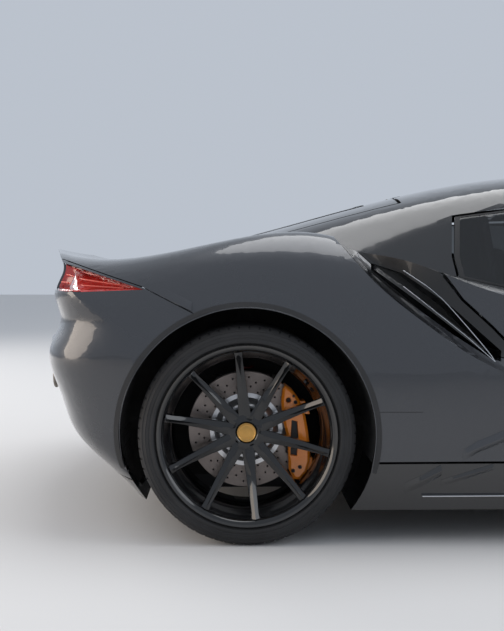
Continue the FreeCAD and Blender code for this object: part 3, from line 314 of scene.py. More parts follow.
hat_silver = finish_of("hat_silver", (0.62, 0.62, 0.63), 0.3, 0.9, (300, 0.1), 0.08)
DISC_OUT, DISC_IN, DISC_FACE, DISC_BACK = 0.1875, 0.112, 0.0045, -0.0245
HOLE_R = 0.0034
HOLES_A_RING = 20
BOBBIN_CIRCLE_R = 0.1105


def brake_disc():
    """A drilled disc and its hat with bobbins, round the origin with the outer side towards +Y."""
    disc = turned([(DISC_OUT, DISC_BACK + 0.002), (DISC_OUT, -0.014), (DISC_OUT - 0.004, -0.0135),
                   (DISC_OUT - 0.004, -0.0065), (DISC_OUT, -0.006), (DISC_OUT, DISC_FACE - 0.001),
                   (DISC_OUT - 0.001, DISC_FACE), (DISC_IN, DISC_FACE), (DISC_IN, DISC_BACK),
                   (DISC_OUT - 0.002, DISC_BACK), (DISC_OUT, DISC_BACK + 0.002)], corners=120)
    drills = []
    for ring, first in ((0.124, 0), (0.139, 6), (0.154, 12), (0.169, 3)):
        degrees = [first + 360 / HOLES_A_RING * i for i in range(HOLES_A_RING)]
        drills.append(ring_of(pin(HOLE_R, 0.08, (ring, -0.01, 0), 10), degrees))
    carved(disc, joined(*drills), "FAST")
    hat = turned([(0.118, 0.0052), (0.118, 0.0075), (0.104, 0.0085), (0.096, 0.020), (0.086, 0.030),
                  (0.05, 0.030), (0.05, -0.012), (0.108, -0.012), (0.108, 0.0052), (0.118, 0.0052)],
                 corners=60)
    bobbin = turned([(0.0085, 0.0065), (0.0085, 0.0100), (0.0065, 0.0110), (0.0045, 0.0110), (0.004, 0.008),
                     (0, 0.008)], at=(BOBBIN_CIRCLE_R, 0, 0), corners=14)
    return disc, joined(hat, ring_of(bobbin, [36 * i + 8 for i in range(10)]))


# Each wheel is cast in one: a deep rim with ten thin straight spokes that sweep out from a small hub to the
# lip, in gloss black, with a plain gold cap. Five bolts hold it to the hub.
gloss_black = finish_of("wheel_gloss_black", (0.0055, 0.0057, 0.0063), 0.12, 0, (900, 0.015), 0.1, coat=0.8,
                       Specular_IOR_Level=0.25)
lip_metal = finish_of("rim_lip", (0.060, 0.058, 0.056), 0.22, 0.8, (700, 0.05), 0.1, coat=0.5)
cap_gold = finish_of("cap_gold", (0.55, 0.30, 0.075), 0.3, 0.9, (700, 0.08), 0.2, coat=0.4)
bolt_steel = finish_of("bolt_black_steel", (0.05, 0.05, 0.052), 0.35, 0.9, (900, 0.08), 0.1)
FLANGE_R = 0.2846
SPOKE_RIDGE = 0.0078
SPOKE_DEGREES = [-24 - 36 * i for i in range(10)]
BOLT_DEGREES = [-6 - 72 * i for i in range(5)]
BOLT_CIRCLE_R = 0.0505
VALVE_DEGREES = -42
HUB_FACE = 0.078


def box_piece(low, high):
    """A box between two corners, the start of a piece."""
    take()
    low, high = Vector(low), Vector(high)
    bpy.ops.mesh.primitive_cube_add(size=1, location=(low + high) / 2)
    bpy.context.object.scale = high - low
    return placed()


def pick(rule, kind="FACE"):
    """In an open mesh, selects just the faces or corners that pass a rule on their place and normal."""
    bpy.ops.mesh.select_mode(type=kind)
    bpy.ops.mesh.select_all(action="DESELECT")
    mesh = bmesh.from_edit_mesh(bpy.context.edit_object.data)
    for item in mesh.faces if kind == "FACE" else mesh.verts:
        if rule(item.calc_center_median() if kind == "FACE" else item.co, item.normal):
            item.select_set(True)
    mesh.select_flush_mode()
    bmesh.update_edit_mesh(bpy.context.edit_object.data)


def rounded(piece, width, segments=2, angle=35):
    """Bevels a piece's sharp edges."""
    apply_modifier(piece, "BEVEL", width=width, segments=segments, angle_limit=math.radians(angle),
                   limit_method="ANGLE", use_clamp_overlap=True)
    return piece


def rim_of(half):
    """The rim's barrel and lips, round the origin with the outer side towards +Y."""
    outer_seat = ((0, 0.003), (0, 0.009), (0.004, 0.012), (0.0185, 0.013), (0.0205, 0.042), (0.040, 0.066))
    inner = ((0.040, 0.080), (0.0205, 0.042), (0.0185, 0.013), (0, 0.009), (0, 0), (0.012, 0), (0.026, 0.015),
             (0.029, 0.044), (0.048, 0.084))
    outer_face = ((0.048, 0.078), (0.040, 0.058), (0.0285, 0.040), (0.026, 0.022), (0.019, 0.009),
                  (0.0115, 0.003), (0.008, 0.0005), (0.003, 0), (0, 0.003))
    return turned([(FLANGE_R - down, half - inward) for down, inward in outer_seat]
                  + [(FLANGE_R - down, inward - half) for down, inward in inner]
                  + [(FLANGE_R - down, half - inward) for down, inward in outer_face], corners=128)


def spoke_of(half, face):
    """One spoke along +X: square at the hub, with a ridge along its face and a flared foot at the lip."""
    stations = [(0.046, face - 0.004, 0.0210, 0.034), (0.075, face - 0.002, 0.0195, 0.034),
                (0.130, face + 0.003, 0.0160, 0.030),
                (0.205, face + (half - 0.016 - face) * 0.46, 0.0130, 0.028),
                (0.243, half - 0.026, 0.0120, 0.026), (0.262, half - 0.0135, 0.0140, 0.026)]
    x, top, width, depth = stations[0]
    piece = box_piece((x - 0.004, top - depth, -width), (x, top, width))
    open_mesh()
    pick(lambda place, normal: normal.x > 0.9)
    for a, b in zip(stations, stations[1:]):
        bpy.ops.mesh.extrude_region_move(TRANSFORM_OT_translate={"value": (b[0] - a[0], b[1] - a[1], 0)})
        bpy.ops.transform.resize(value=(1, b[3] / a[3], b[2] / a[2]), center_override=(b[0], b[1], 0))
    close_mesh()
    rounded(piece, 0.0035, 2, 40)
    open_mesh()
    bpy.ops.mesh.bisect(plane_co=(0, 0, 0), plane_no=(0, 0, 1))
    pick(lambda place, normal: abs(place.z) < 1e-5 and normal.y > 0.3 and place.x > 0.06, "VERT")
    bpy.ops.transform.translate(value=(0, SPOKE_RIDGE, 0))
    close_mesh()
    return piece


def wheel_set(end):
    """What turns at one end's wheel except its tyre, round the origin: names, pieces and materials."""
    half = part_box(f"wheel_{end}_left")[1].y - HUB_PLACES[end, "left"][0].y
    spokes = ring_of(spoke_of(half, HUB_FACE), SPOKE_DEGREES)
    hub = turned([(0.086, 0.0045), (0.080, 0.030), (0.074, 0.052), (0.066, 0.068), (0.056, 0.0755),
                  (0.046, 0.0775), (0.036, 0.0785), (0.0335, 0.0765), (0.0325, 0.068), (0.0315, 0.062),
                  (0, 0.062)], corners=60)
    holes = ring_of(pin(0.0115, 0.05, (BOLT_CIRCLE_R, 0.083, 0), 20), BOLT_DEGREES)
    rim = joined(rim_of(half), carved(hub, holes, "FAST"), spokes)
    bolt = turned([(0.0085, 0.059), (0.0085, 0.0665), (0.0072, 0.068), (0.0048, 0.068), (0.0046, 0.063),
                   (0, 0.063)], at=(BOLT_CIRCLE_R, 0, 0), corners=6)
    cap = turned([(0.0312, 0.063), (0.0312, 0.0715), (0.0298, 0.0738), (0.0275, 0.0742), (0.0262, 0.0733),
                  (0.0245, 0.0722), (0.0200, 0.0722), (0.0185, 0.0731), (0.0120, 0.0739), (0, 0.0742)],
                 corners=48)
    lip_ring = turned([(FLANGE_R - 0.0118, half - 0.0034), (FLANGE_R - 0.0078, half - 0.0001),
                       (FLANGE_R - 0.0031, half + 0.0005), (FLANGE_R + 0.0003, half - 0.0029),
                       (FLANGE_R - 0.0035, half - 0.0032), (FLANGE_R - 0.0118, half - 0.0034)], corners=128)
    straight = turned([(0.0035, -0.004), (0.0032, 0.012), (0.0046, 0.013), (0.0046, 0.030), (0.0038, 0.032),
                       (0, 0.032)], at=(0.247, half - 0.075, 0), corners=14)
    valve = copy_of(straight, turn=math.radians(VALVE_DEGREES))
    drop(straight)
    disc, hat = brake_disc()
    bolts = ring_of(bolt, BOLT_DEGREES)
    return (("rim", rim, gloss_black), ("bolts", bolts, bolt_steel), ("cap", cap, cap_gold),
            ("lip", lip_ring, lip_metal), ("valve", valve, bolt_steel), ("disc", disc, None),
            ("hat", hat, hat_silver))


for end in ("front", "rear"):
    parts = wheel_set(end)
    for side, sign in SIDES:
        place = HUB_PLACES[end, side][0]
        disc_iron = finish_of(f"disc_iron_{end}_{side}", (0.21, 0.18, 0.165), 0.34, 0.85, mottle=0.2,
                              axle=place)
        for kind, part, material in parts:
            piece = copy_of(part, flip=sign < 0)
            piece.location = place
            replaced = [f"wheel_{end}_{side}"] if kind == "rim" else ()
            fitted(piece, f"wheel_{end}_{side}_{kind}", f"{end}_wheel_{side}",
                   material or disc_iron, replaces=replaced)
    drop(*[part for _, part, _ in parts])

# Tyres: low-profile rubber on the rims, with a rim-protecting rib, fine rings on the walls and a road tread
# of three grooves in front and four behind, with slots across its shoulders.
rubber = finish_of("tyre_rubber", (0.022, 0.022, 0.023), 0.62, 0, (1400, 0.25), 0.22, Specular_IOR_Level=0.35)
TREAD_STEPS = 132
SHOULDER = 0.042
GROOVE_DEPTH = 0.0068
SLOT_DEPTH = 0.0035


def tyre_of(radius, half):
    """A tyre round the origin. The tread's slots are cut into its shoulders."""
    wall = [(r, half - inward) for r, inward in (
        (0.2662, 0.041), (0.2675, 0.0135), (0.2853, 0.0112), (0.2885, 0.0062), (0.2920, 0.0012),
        (0.2965, 0.0002), (0.3010, 0.0012), (0.3035, 0.0030), (0.3075, 0.0024), (0.3082, 0.0016),
        (0.3092, 0.0026), (0.3160, 0.0034), (0.3168, 0.0026), (0.3178, 0.0038))]
    shoulder = [(radius - down, half - inward) for down, inward in (
        (0.0165, 0.0068), (0.0155, 0.0060), (0.0140, 0.0082), (0.0075, 0.0135), (0.0030, 0.0200),
        (0.0010, 0.0290), (0.0002, 0.0420))]
    count = 3 if half < 0.14 else 4
    pitch = 2 * (half - SHOULDER) / count
    tread = []
    for i in range(count):
        centre = half - SHOULDER - pitch * (i + 0.5)
        tread += [(radius - 0.0001, centre + 0.0052), (radius - GROOVE_DEPTH, centre + 0.0036),
                  (radius - GROOVE_DEPTH, centre - 0.0036), (radius - 0.0001, centre - 0.0052)]
    mirrored_back = [(r, -y) for r, y in reversed(wall + shoulder)]
    lining = [(0.2805, 0.040 - half), (radius - 0.022, 0.022 - half), (radius - 0.0145, 0.046 - half),
              (radius - 0.0145, half - 0.046), (radius - 0.022, half - 0.022), (0.2805, half - 0.040)]
    piece = turned(wall + shoulder + tread + mirrored_back + lining + wall[:1], corners=TREAD_STEPS)
    open_mesh()

    def in_slot(place, normal):
        reach = math.hypot(place.x, place.z)
        step = int((math.atan2(place.z, place.x) % (2 * math.pi)) / (2 * math.pi) * TREAD_STEPS)
        far_out = reach > radius - 0.0135 and abs(place.y) > half - 0.036
        faces_out = normal.dot(Vector((place.x, 0, place.z))) > 0
        return far_out and faces_out and step % 2 == (0 if place.y > 0 else 1)

    pick(in_slot)
    bpy.ops.mesh.inset(thickness=0.0052, depth=0)
    bpy.ops.mesh.extrude_region_shrink_fatten(TRANSFORM_OT_shrink_fatten={"value": -SLOT_DEPTH})
    close_mesh()
    return piece


for end in ("front", "rear"):
    low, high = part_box(f"tyre_{end}_left")
    piece = tyre_of((high.z - low.z) / 2, (high.y - low.y) / 2)
    for side, sign in SIDES:
        made = copy_of(piece, flip=sign < 0)
        made.location = HUB_PLACES[end, side][0]
        fitted(made, f"tyre_{end}_{side}_rubber", f"{end}_wheel_{side}", rubber,
               replaces=[f"tyre_{end}_{side}"])
    drop(piece)

# The uprights and arms are forged in aluminium, with a coil spring over a damper at each wheel. The calipers
# are cast in one, painted orange and bolted to the uprights ahead of the axles, with pads and a bleed nipple.
# Black sheets in each caliper's window and at the foot of its hole are painted shade.
forged = finish_of("forged_aluminium", (0.16, 0.16, 0.165), 0.45, 0.85, (260, 0.25), 0.18)
caliper_orange = finish_of("caliper_orange", (0.80, 0.225, 0.012), 0.3, 0, (700, 0.06), 0.12, coat=0.7)
pad_black_and_painted_shade = finish_of("pad_black_and_painted_shade", (0.018, 0.018, 0.018), 0.6, 0, (500, 0.2), 0.2)
spring_paint = finish_of("spring_dark_red", (0.16, 0.012, 0.01), 0.35, 0.1, (600, 0.1), 0.1, coat=0.5)
damper_body = finish_of("damper_body", (0.30, 0.29, 0.27), 0.3, 0.9, (600, 0.05), 0.1)


def plate(outline, low, high, axis=1):
    """A flat plate between two levels on an axis. A disc's corners are moved to the drawn outline's."""
    take()
    bpy.ops.mesh.primitive_circle_add(vertices=len(outline), radius=1, fill_type="NGON")
    piece = bpy.context.object
    for corner, (a, b) in zip(piece.data.vertices, outline):
        corner.co = ((low, a, b), (a, low, b), (a, b, low))[axis]
    open_mesh()
    rise = [high - low if i == axis else 0 for i in range(3)]
    bpy.ops.mesh.extrude_region_move(TRANSFORM_OT_translate={"value": rise})
    close_mesh(outward=True)
    return piece


CALIPER_OUTLINE = [
    (0.126, 0.146), (0.150, 0.128), (0.172, 0.098), (0.190, 0.050), (0.199, 0.000), (0.205, -0.050),
    (0.205, -0.098), (0.194, -0.134), (0.172, -0.158), (0.152, -0.156), (0.136, -0.124), (0.134, -0.060),
    (0.128, -0.010), (0.116, 0.040), (0.112, 0.090), (0.116, 0.134),
]


def caliper_set():
    """A caliper ahead of an axle at the origin, and its dark parts: pads, nipple, bolts and sheets of painted
    shade.
    """
    outer = plate(CALIPER_OUTLINE, 0.0115, 0.0335)
    open_mesh()
    pick(lambda place, normal: normal.y > 0.9)
    bpy.ops.mesh.inset(thickness=0.009)
    bpy.ops.transform.translate(value=(0, 0.0065, 0))
    close_mesh()
    carved(outer, plate([(0.142, -0.078), (0.163, -0.082), (0.168, -0.020), (0.164, 0.030), (0.146, 0.034),
                         (0.143, -0.020)], 0.028, 0.06))
    carved(outer, turned([(0.0085, 0.024), (0.0085, 0.06)], at=(0.136, 0, 0.098), corners=20, cap=True))
    rounded(outer, 0.0022, 2, 38)
    inner = rounded(plate(CALIPER_OUTLINE, -0.0495, -0.0315), 0.002, 2, 38)
    bridges = [plate(outline, -0.048, 0.028) for outline in (
        [(0.186, -0.128), (0.212, -0.128), (0.214, -0.089), (0.188, -0.085)],
        [(0.176, 0.052), (0.206, 0.052), (0.190, 0.094), (0.166, 0.094)],
    )]
    bridge = rounded(joined(*bridges), 0.002, 2, 38)
    bolts = [turned([(0.0065, 0.034), (0.0065, 0.0445), (0.0055, 0.0455), (0.0036, 0.0455), (0.0034, 0.041),
                     (0, 0.041)], at=(x, 0, z), corners=6)
             for x, z in ((0.172, -0.116), (0.150, -0.128), (0.158, 0.092))]
    pads = plate([(0.128, -0.075), (0.178, -0.085), (0.183, 0.0), (0.172, 0.062), (0.126, 0.052)],
                 0.0062, 0.0125)
    nipple = turned([(0.0045, 0.036), (0.0045, 0.046), (0.0032, 0.048), (0.0032, 0.053), (0, 0.053)],
                    at=(0.152, 0, 0.112), corners=10)
    # Painted shade: black sheets on the floor of the window and at the foot of the hole, where shade falls.
    window_shade_sheet = plate([(0.1425, -0.077), (0.1625, -0.081), (0.1675, -0.020), (0.1635, 0.0295),
                        (0.1465, 0.0335), (0.1435, -0.020)], 0.0275, 0.0290)
    hole_shade_sheet = turned([(0.0083, 0.0235), (0.0083, 0.0250), (0, 0.0250)], at=(0.136, 0, 0.098), corners=20)
    return joined(outer, inner, bridge), joined(pads, nipple, window_shade_sheet, hole_shade_sheet, *bolts)


def smooth_copy(source):
    """A merged copy of a node's loose triangles, which can be shaded smooth."""
    take()
    piece = nodes[source].copy()
    piece.data = nodes[source].data.copy()
    scene.collection.objects.link(piece)
    for key in list(piece.keys()):
        del piece[key]
    piece.parent = None
    piece.hide_render = piece.hide_viewport = False
    piece.hide_set(False)
    take(piece)
    open_mesh()
    bpy.ops.mesh.remove_doubles(threshold=1e-5)
    close_mesh()
    return piece


def without_calipers(source, hubs):
    """A smooth copy of a node without its plain calipers. The openings that they leave are closed."""
    piece = smooth_copy(source)
    open_mesh()
    for place, sign in hubs:

        def of_caliper(at, normal):
            x, y, z = at.x - place.x, (at.y - place.y) * sign, at.z - place.z
            ahead = x > 0.06 and math.hypot(x, z) > 0.1105 and abs(z) < x * 0.80 + 0.002
            return ahead and -0.0505 < y < 0.0305 and at.y * sign > 0

        pick(of_caliper)
        bpy.ops.mesh.delete(type="FACE")
    bpy.ops.mesh.select_mode(type="EDGE")
    bpy.ops.mesh.select_non_manifold()
    bpy.ops.mesh.fill()
    close_mesh()
    return piece


def panel(node, body, material, angle=16):
    """A node of the frame in its own finish, with its curves shaded smooth."""
    piece = smooth_copy(node)
    fitted(piece, f"{node}_finished", body, material, angle, [node])
    apply_modifier(piece, "WEIGHTED_NORMAL", keep_sharp=True, weight=60)
    return piece


def tube_along(places, thickness):
    """A round bar, that thick, along a smooth line through places. Places that were missed are left out."""
    places = [place for place in places if place is not None]
    take()
    bpy.ops.curve.primitive_bezier_curve_add()
    curve = bpy.context.object
    curve.data.splines.clear()
    line = curve.data.splines.new("NURBS")
    line.points.add(len(places) - 1)
    for point, place in zip(line.points, places):
        point.co = (*place, 1)
    line.order_u = min(4, len(places))
    line.use_endpoint_u = True
    curve.data.dimensions = "3D"
    curve.data.bevel_depth = thickness / 2
    curve.data.bevel_resolution = 3
    curve.data.use_fill_caps = True
    curve.data.resolution_u = 3
    take(curve)
    bpy.ops.object.convert(target="MESH")
    return bpy.context.object


def spring_of(foot, head, radius, wire, turns):
    """A coil spring between two places."""
    foot, head = Vector(foot), Vector(head)
    lean = (head - foot).to_track_quat("Z", "Y")
    count = int(turns * 12)
    places = []
    for i in range(count + 1):
        angle = i / 12 * 2 * math.pi
        rise = (head - foot).length * i / count
        places.append(foot + lean @ Vector((radius * math.cos(angle), radius * math.sin(angle), rise)))
    return tube_along(places, 2 * wire)


def rod(foot, head, radius, corners=20):
    """A round bar between two places."""
    foot, head = Vector(foot), Vector(head)
    take()
    bpy.ops.mesh.primitive_cylinder_add(vertices=corners, radius=radius, depth=(head - foot).length,
                                        location=(foot + head) / 2)
    bpy.context.object.rotation_euler = (head - foot).to_track_quat("Z", "Y").to_euler()
    return rounded(placed(), min(radius * 0.2, 0.002), 2, 50)


FOOT_Z, HEAD_Z = 0.245, 0.60
STRUT_INWARD, STRUT_LEAN = 0.20, 0.05
calipers, caliper_dark_parts_and_shade = caliper_set()
for (end, side), (place, sign) in HUB_PLACES.items():
    body = f"front_knuckle_{side}" if end == "front" else "chassis"
    for source, name, material in ((calipers, "caliper", caliper_orange),
                                   (caliper_dark_parts_and_shade, "caliper_pads", pad_black_and_painted_shade)):
        piece = copy_of(source, flip=sign < 0)
        piece.location = place
        fitted(piece, f"{name}_{end}_{side}", body, material)

    def strut_at(inward, z):
        return Vector((place.x, place.y - sign * (STRUT_INWARD + inward), z))

    coil = spring_of(strut_at(0, FOOT_Z + 0.06), strut_at(STRUT_LEAN, HEAD_Z), 0.052, 0.006, 6)
    fitted(coil, f"spring_{end}_{side}", "chassis", spring_paint)
    strut = joined(rod(strut_at(-0.008, FOOT_Z - 0.006), strut_at(0, FOOT_Z + 0.17), 0.026),
                   rod(strut_at(0, FOOT_Z + 0.15), strut_at(0.052, HEAD_Z + 0.02), 0.011),
                   rod(strut_at(-0.001, FOOT_Z + 0.045), strut_at(0.0005, FOOT_Z + 0.058), 0.060),
                   rod(strut_at(0.0495, HEAD_Z), strut_at(0.052, HEAD_Z + 0.014), 0.060))
    fitted(strut, f"damper_{end}_{side}", "chassis", damper_body)
drop(calipers, caliper_dark_parts_and_shade)
for side, sign in SIDES:
    piece = without_calipers(f"knuckle_{side}", [HUB_PLACES["front", side]])
    fitted(piece, f"upright_front_{side}", f"front_knuckle_{side}", forged, 32,
           [f"knuckle_{side}"])
rear_uprights = without_calipers("rear_suspension", [HUB_PLACES["rear", side] for side, sign in SIDES])
fitted(rear_uprights, "uprights_rear", "chassis", forged, 32, ["rear_suspension"])
panel("front_suspension", "chassis", forged, 32)

# The underside: a tray of pressed black composite, bolted to the tub, and wheelhouse liners of felt, pushed
# into the arches. The outer panels' dark grey paint has fine flake under a gloss lacquer.
tray_black = finish_of("undertray_composite", (0.028, 0.028, 0.029), 0.6, 0, (420, 0.35), 0.15)
felt = finish_of("liner_felt", (0.020, 0.0195, 0.019), 0.95, 0, (900, 0.8), 0.3)
panel("floor", "chassis", tray_black)
panel("arch_liners", "chassis", felt, 40)


def metallic_paint():
    """Dark grey paint with fine flake under gloss lacquer."""
    finish = Finish("car_paint_dark_grey", Metallic=0.62, Coat_Weight=1.0, Coat_Roughness=0.03,
                    Specular_IOR_Level=0.5)
    flakes = finish.node("ShaderNodeTexVoronoi", Scale=2600.0)
    finish.tones(flakes.outputs["Color"], (0.030, 0.032, 0.037), (0.064, 0.067, 0.075))
    finish.gloss(finish.noise(5.0, 3.0), 0.24, 0.32)
    finish.relief(finish.noise(160.0, 1.0), 0.015, 0.0004, "Coat Normal")
    return finish.material


paint = metallic_paint()

# The tub is one moulding in carbon fibre, lacquered where it shows. The engine and gearbox behind it are cast
# in aluminium, with two black cam covers, a plenum on eight runners and a rubber intake pipe.


def carbon_weave():
    """A twill of carbon under lacquer: two crossed bands that take the light in turn."""
    finish = Finish("carbon_twill", Roughness=0.32, Coat_Weight=0.9, Coat_Roughness=0.05)
    turn = finish.node("ShaderNodeMapping", Rotation=(0.0, 0.0, 0.785)).outputs["Vector"]
    checks = finish.node("ShaderNodeTexChecker", turn, Scale=480.0,
                         Color1=(0.010, 0.010, 0.011, 1), Color2=(0.034, 0.034, 0.036, 1))
    finish.drive(checks.outputs["Color"], "Base Color")
    finish.relief(finish.node("ShaderNodeTexWave", turn, Scale=900.0).outputs["Fac"], 0.2, 0.0003)
    return finish.material


carbon = carbon_weave()
cast_aluminium = finish_of("cast_aluminium", (0.36, 0.36, 0.365), 0.5, 0.9, (330, 0.5), 0.15)
cam_cover_black = finish_of("cam_cover_crackle", (0.025, 0.025, 0.026), 0.55, 0.1, (520, 0.6), 0.2)
pipe_rubber = finish_of("pipe_rubber", (0.02, 0.02, 0.02), 0.55, 0, (500, 0.1), 0.2)
panel("tub", "chassis", carbon, 32)
panel("engine", "chassis", cast_aluminium, 32)
ENGINE_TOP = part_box("engine")[1].z
COVER_FROM, COVER_TO = REAR_AXLE_X + 0.25, REAR_AXLE_X + 0.62


def block(low, high, width, segments=2, angle=35):
    """A box between two corners with rounded edges."""
    return rounded(box_piece(low, high), width, segments, angle)


cover = box_piece((COVER_FROM, 0.105, ENGINE_TOP), (COVER_TO, 0.235, ENGINE_TOP + 0.038))
open_mesh()
pick(lambda at, normal: normal.z > 0.9)
bpy.ops.mesh.inset(thickness=0.012)
bpy.ops.transform.translate(value=(0, 0, 0.008))
close_mesh()
rounded(cover, 0.008, 3, 30)
RIB_FROM, RIB_TO = COVER_FROM + 0.03, COVER_TO - 0.03
ribs = [block((RIB_FROM, y, ENGINE_TOP + 0.043), (RIB_TO, y + 0.008, ENGINE_TOP + 0.051), 0.003)
        for y in (0.122, 0.142, 0.162, 0.182, 0.202)]
cover = joined(cover, *ribs)
fitted(copy_of(cover, flip=True), "cam_cover_right", "chassis", cam_cover_black)
fitted(cover, "cam_cover_left", "chassis", cam_cover_black)
plenum = block((COVER_FROM + 0.01, -0.085, ENGINE_TOP - 0.09), (COVER_TO - 0.01, 0.085, ENGINE_TOP + 0.045),
               0.034, 5, 40)
runners = [rod((x, sign * 0.06, ENGINE_TOP + 0.01), (x, sign * 0.108, ENGINE_TOP - 0.015), 0.021)
           for x in (COVER_FROM + 0.055 + 0.087 * i for i in range(4)) for sign in (1, -1)]
fitted(joined(plenum, *runners), "engine_plenum", "chassis", cast_aluminium)
cross_x, cross_z = REAR_AXLE_X + 0.09, ENGINE_TOP - 0.055
neck = rod((COVER_FROM + 0.02, 0, ENGINE_TOP), (cross_x - 0.03, 0, ENGINE_TOP - 0.06), 0.045, 28)
intake_pipe = joined(neck, rod((cross_x, -0.17, cross_z), (cross_x, 0.17, cross_z), 0.042, 28))
fitted(intake_pipe, "engine_intake_pipe", "chassis", pipe_rubber)

# The panels: superformed aluminium and moulded skins, hemmed at their edges and bolted to the tub with an
# even gap. Wings, doors, bonnet, quarters and bumpers share one paint. The roof, the lid and the mirrors are
# gloss black, the panels round the side intakes satin black. The sills are gloss black as well, which is
# painted shade, dark where shade falls low along the car's side.
gloss_black_and_painted_shade = finish_of("gloss_black_panel_and_painted_shade", (0.008, 0.008, 0.009), 0.1, 0.1, (900, 0.02), 0.1, coat=1.0)
satin_black = finish_of("satin_black_panel", (0.007, 0.007, 0.0075), 0.38, 0, (900, 0.03), 0.1, coat=0.25)
grained_black = finish_of("grained_black_plastic", (0.020, 0.020, 0.021), 0.55, 0, (700, 0.3), 0.12)
grille_black = finish_of("satin_black_grille", (0.013, 0.013, 0.014), 0.42, 0.1, (800, 0.1), 0.12)
satin_metal_and_painted_highlight = finish_of("satin_aluminium_and_painted_highlight", (0.52, 0.53, 0.55), 0.28, 0.95, (1200, 0.05), 0.08)
seam_black = finish_of("shut_line_black", (0.006, 0.006, 0.006), 0.6, 0, (500, 0.1), 0.1)


def tree_of(piece):
    """A piece's faces, ready to be met by lines."""
    mesh = piece.data
    return BVHTree.FromPolygons([v.co for v in mesh.vertices], [f.vertices for f in mesh.polygons])


skins = {}
for node, body, slot, material in (
    ("front_bumper", "chassis", "paint", paint), ("wings", "chassis", "paint", paint),
    ("bonnet", "bonnet", "paint", paint), ("door_left", "door_left", "paint", paint),
    ("door_right", "door_right", "paint", paint), ("quarters", "chassis", "paint", paint),
    ("rear_deck", "chassis", "paint", paint), ("rear_bumper", "chassis", "paint", paint),
    ("roof", "chassis", "gloss_black", gloss_black_and_painted_shade), ("engine_lid", "engine_lid", "gloss_black", gloss_black_and_painted_shade),
    # Painted shade: the sills are gloss black, dark where shade falls low along the car's side.
    ("side_intakes", "chassis", "gloss_black", satin_black), ("sills", "chassis", "gloss_black", gloss_black_and_painted_shade),
    ("cowl", "chassis", "black_trim", grained_black),
    ("front_grilles", "chassis", "grille", grille_black), ("rear_grille", "chassis", "grille", grille_black),
    ("splitter", "chassis", "carbon", carbon), ("diffuser", "chassis", "carbon", carbon),
    ("mirror_left", "door_left", "gloss_black", gloss_black_and_painted_shade),
    ("mirror_right", "door_right", "gloss_black", gloss_black_and_painted_shade),
):
    smooth = 40 if "mirror" in node else 28 if "deck" in node else 16
    skins[node] = tree_of(panel(node, body, material, smooth))


def skin_at(names, start, toward, lift=0.0):
    """Where a line from a place first meets one of the skins, moved out along its normal by a lift."""
    hits = []
    for name in names:
        place, normal, _, far = skins[name].ray_cast(Vector(start), Vector(toward))
        if place is not None:
            hits.append((far, place, normal if normal.dot(Vector(toward)) < 0 else -normal))
    if not hits:
        return None
    _, place, normal = min(hits, key=lambda hit: hit[0])
    return place + normal * lift


SIDE_STEPS = 6


def side_line(names, points, sign, steps=SIDE_STEPS, lift=0.0):
    """Places along a line drawn in the side view, on skins seen from one side. A miss gives None."""
    places = []
    for (x0, z0), (x1, z1) in zip(points, points[1:]):
        places += [(x0 + (x1 - x0) * i / steps, z0 + (z1 - z0) * i / steps) for i in range(steps)]
    return [skin_at(names, (x, sign * 2, z), (0, -sign, 0), lift) for x, z in places + [points[-1]]]


def strip(rows, name, body, material, wall=0.0008):
    """A thin band through rows of places. Where one row missed, the others' places are left out too."""
    whole = [column for column in zip(*rows) if None not in column]
    take()
    bpy.ops.mesh.primitive_grid_add(x_subdivisions=len(whole) - 1, y_subdivisions=len(rows) - 1)
    piece = bpy.context.object
    for corner, place in zip(piece.data.vertices, [place for row in zip(*whole) for place in row]):
        corner.co = place
    apply_modifier(piece, "SOLIDIFY", thickness=wall, offset=0)
    open_mesh()
    close_mesh(outward=True)
    return fitted(piece, name, body, material, 50)


# Round each arch: a satin black lip of moulded rubber, pushed over the panels' returned edge, and inside it
# the rolled edge of the painted panel.
ARCH_STEPS = 72
ARCH_FROM, ARCH_SWEEP = -16, 212
ARCH_GAP = 0.057
for end, axle_x, names in (("rear", REAR_AXLE_X, ("quarters", "rear_bumper", "sills")),
                           ("front", FRONT_AXLE_X, ("wings", "front_bumper", "sills"))):
    axle_z = HUB_PLACES[end, "left"][0].z
    for side, sign in SIDES:
        rows = [[], []]
        for step in range(ARCH_STEPS + 1):
            angle = math.radians(ARCH_FROM + ARCH_SWEEP * step / ARCH_STEPS)
            across = [(axle_x + r * math.cos(angle), axle_z + r * math.sin(angle))
                      for r in (axle_z + ARCH_GAP + 0.0015, axle_z + ARCH_GAP + 0.017)]
            inner, outer = side_line(names, across, sign, 1, 0.001)
            if inner and outer and abs(inner.y - outer.y) < 0.02 and abs(inner.y) > 0.8:
                rows[0].append(inner)
                rows[1].append(outer)
        strip(rows, f"arch_lip_{end}_{side}", "chassis", grained_black, 0.0035)
        fitted(tube_along(rows[0][::3], 0.0045), f"arch_edge_{end}_{side}", "chassis", paint, 60)
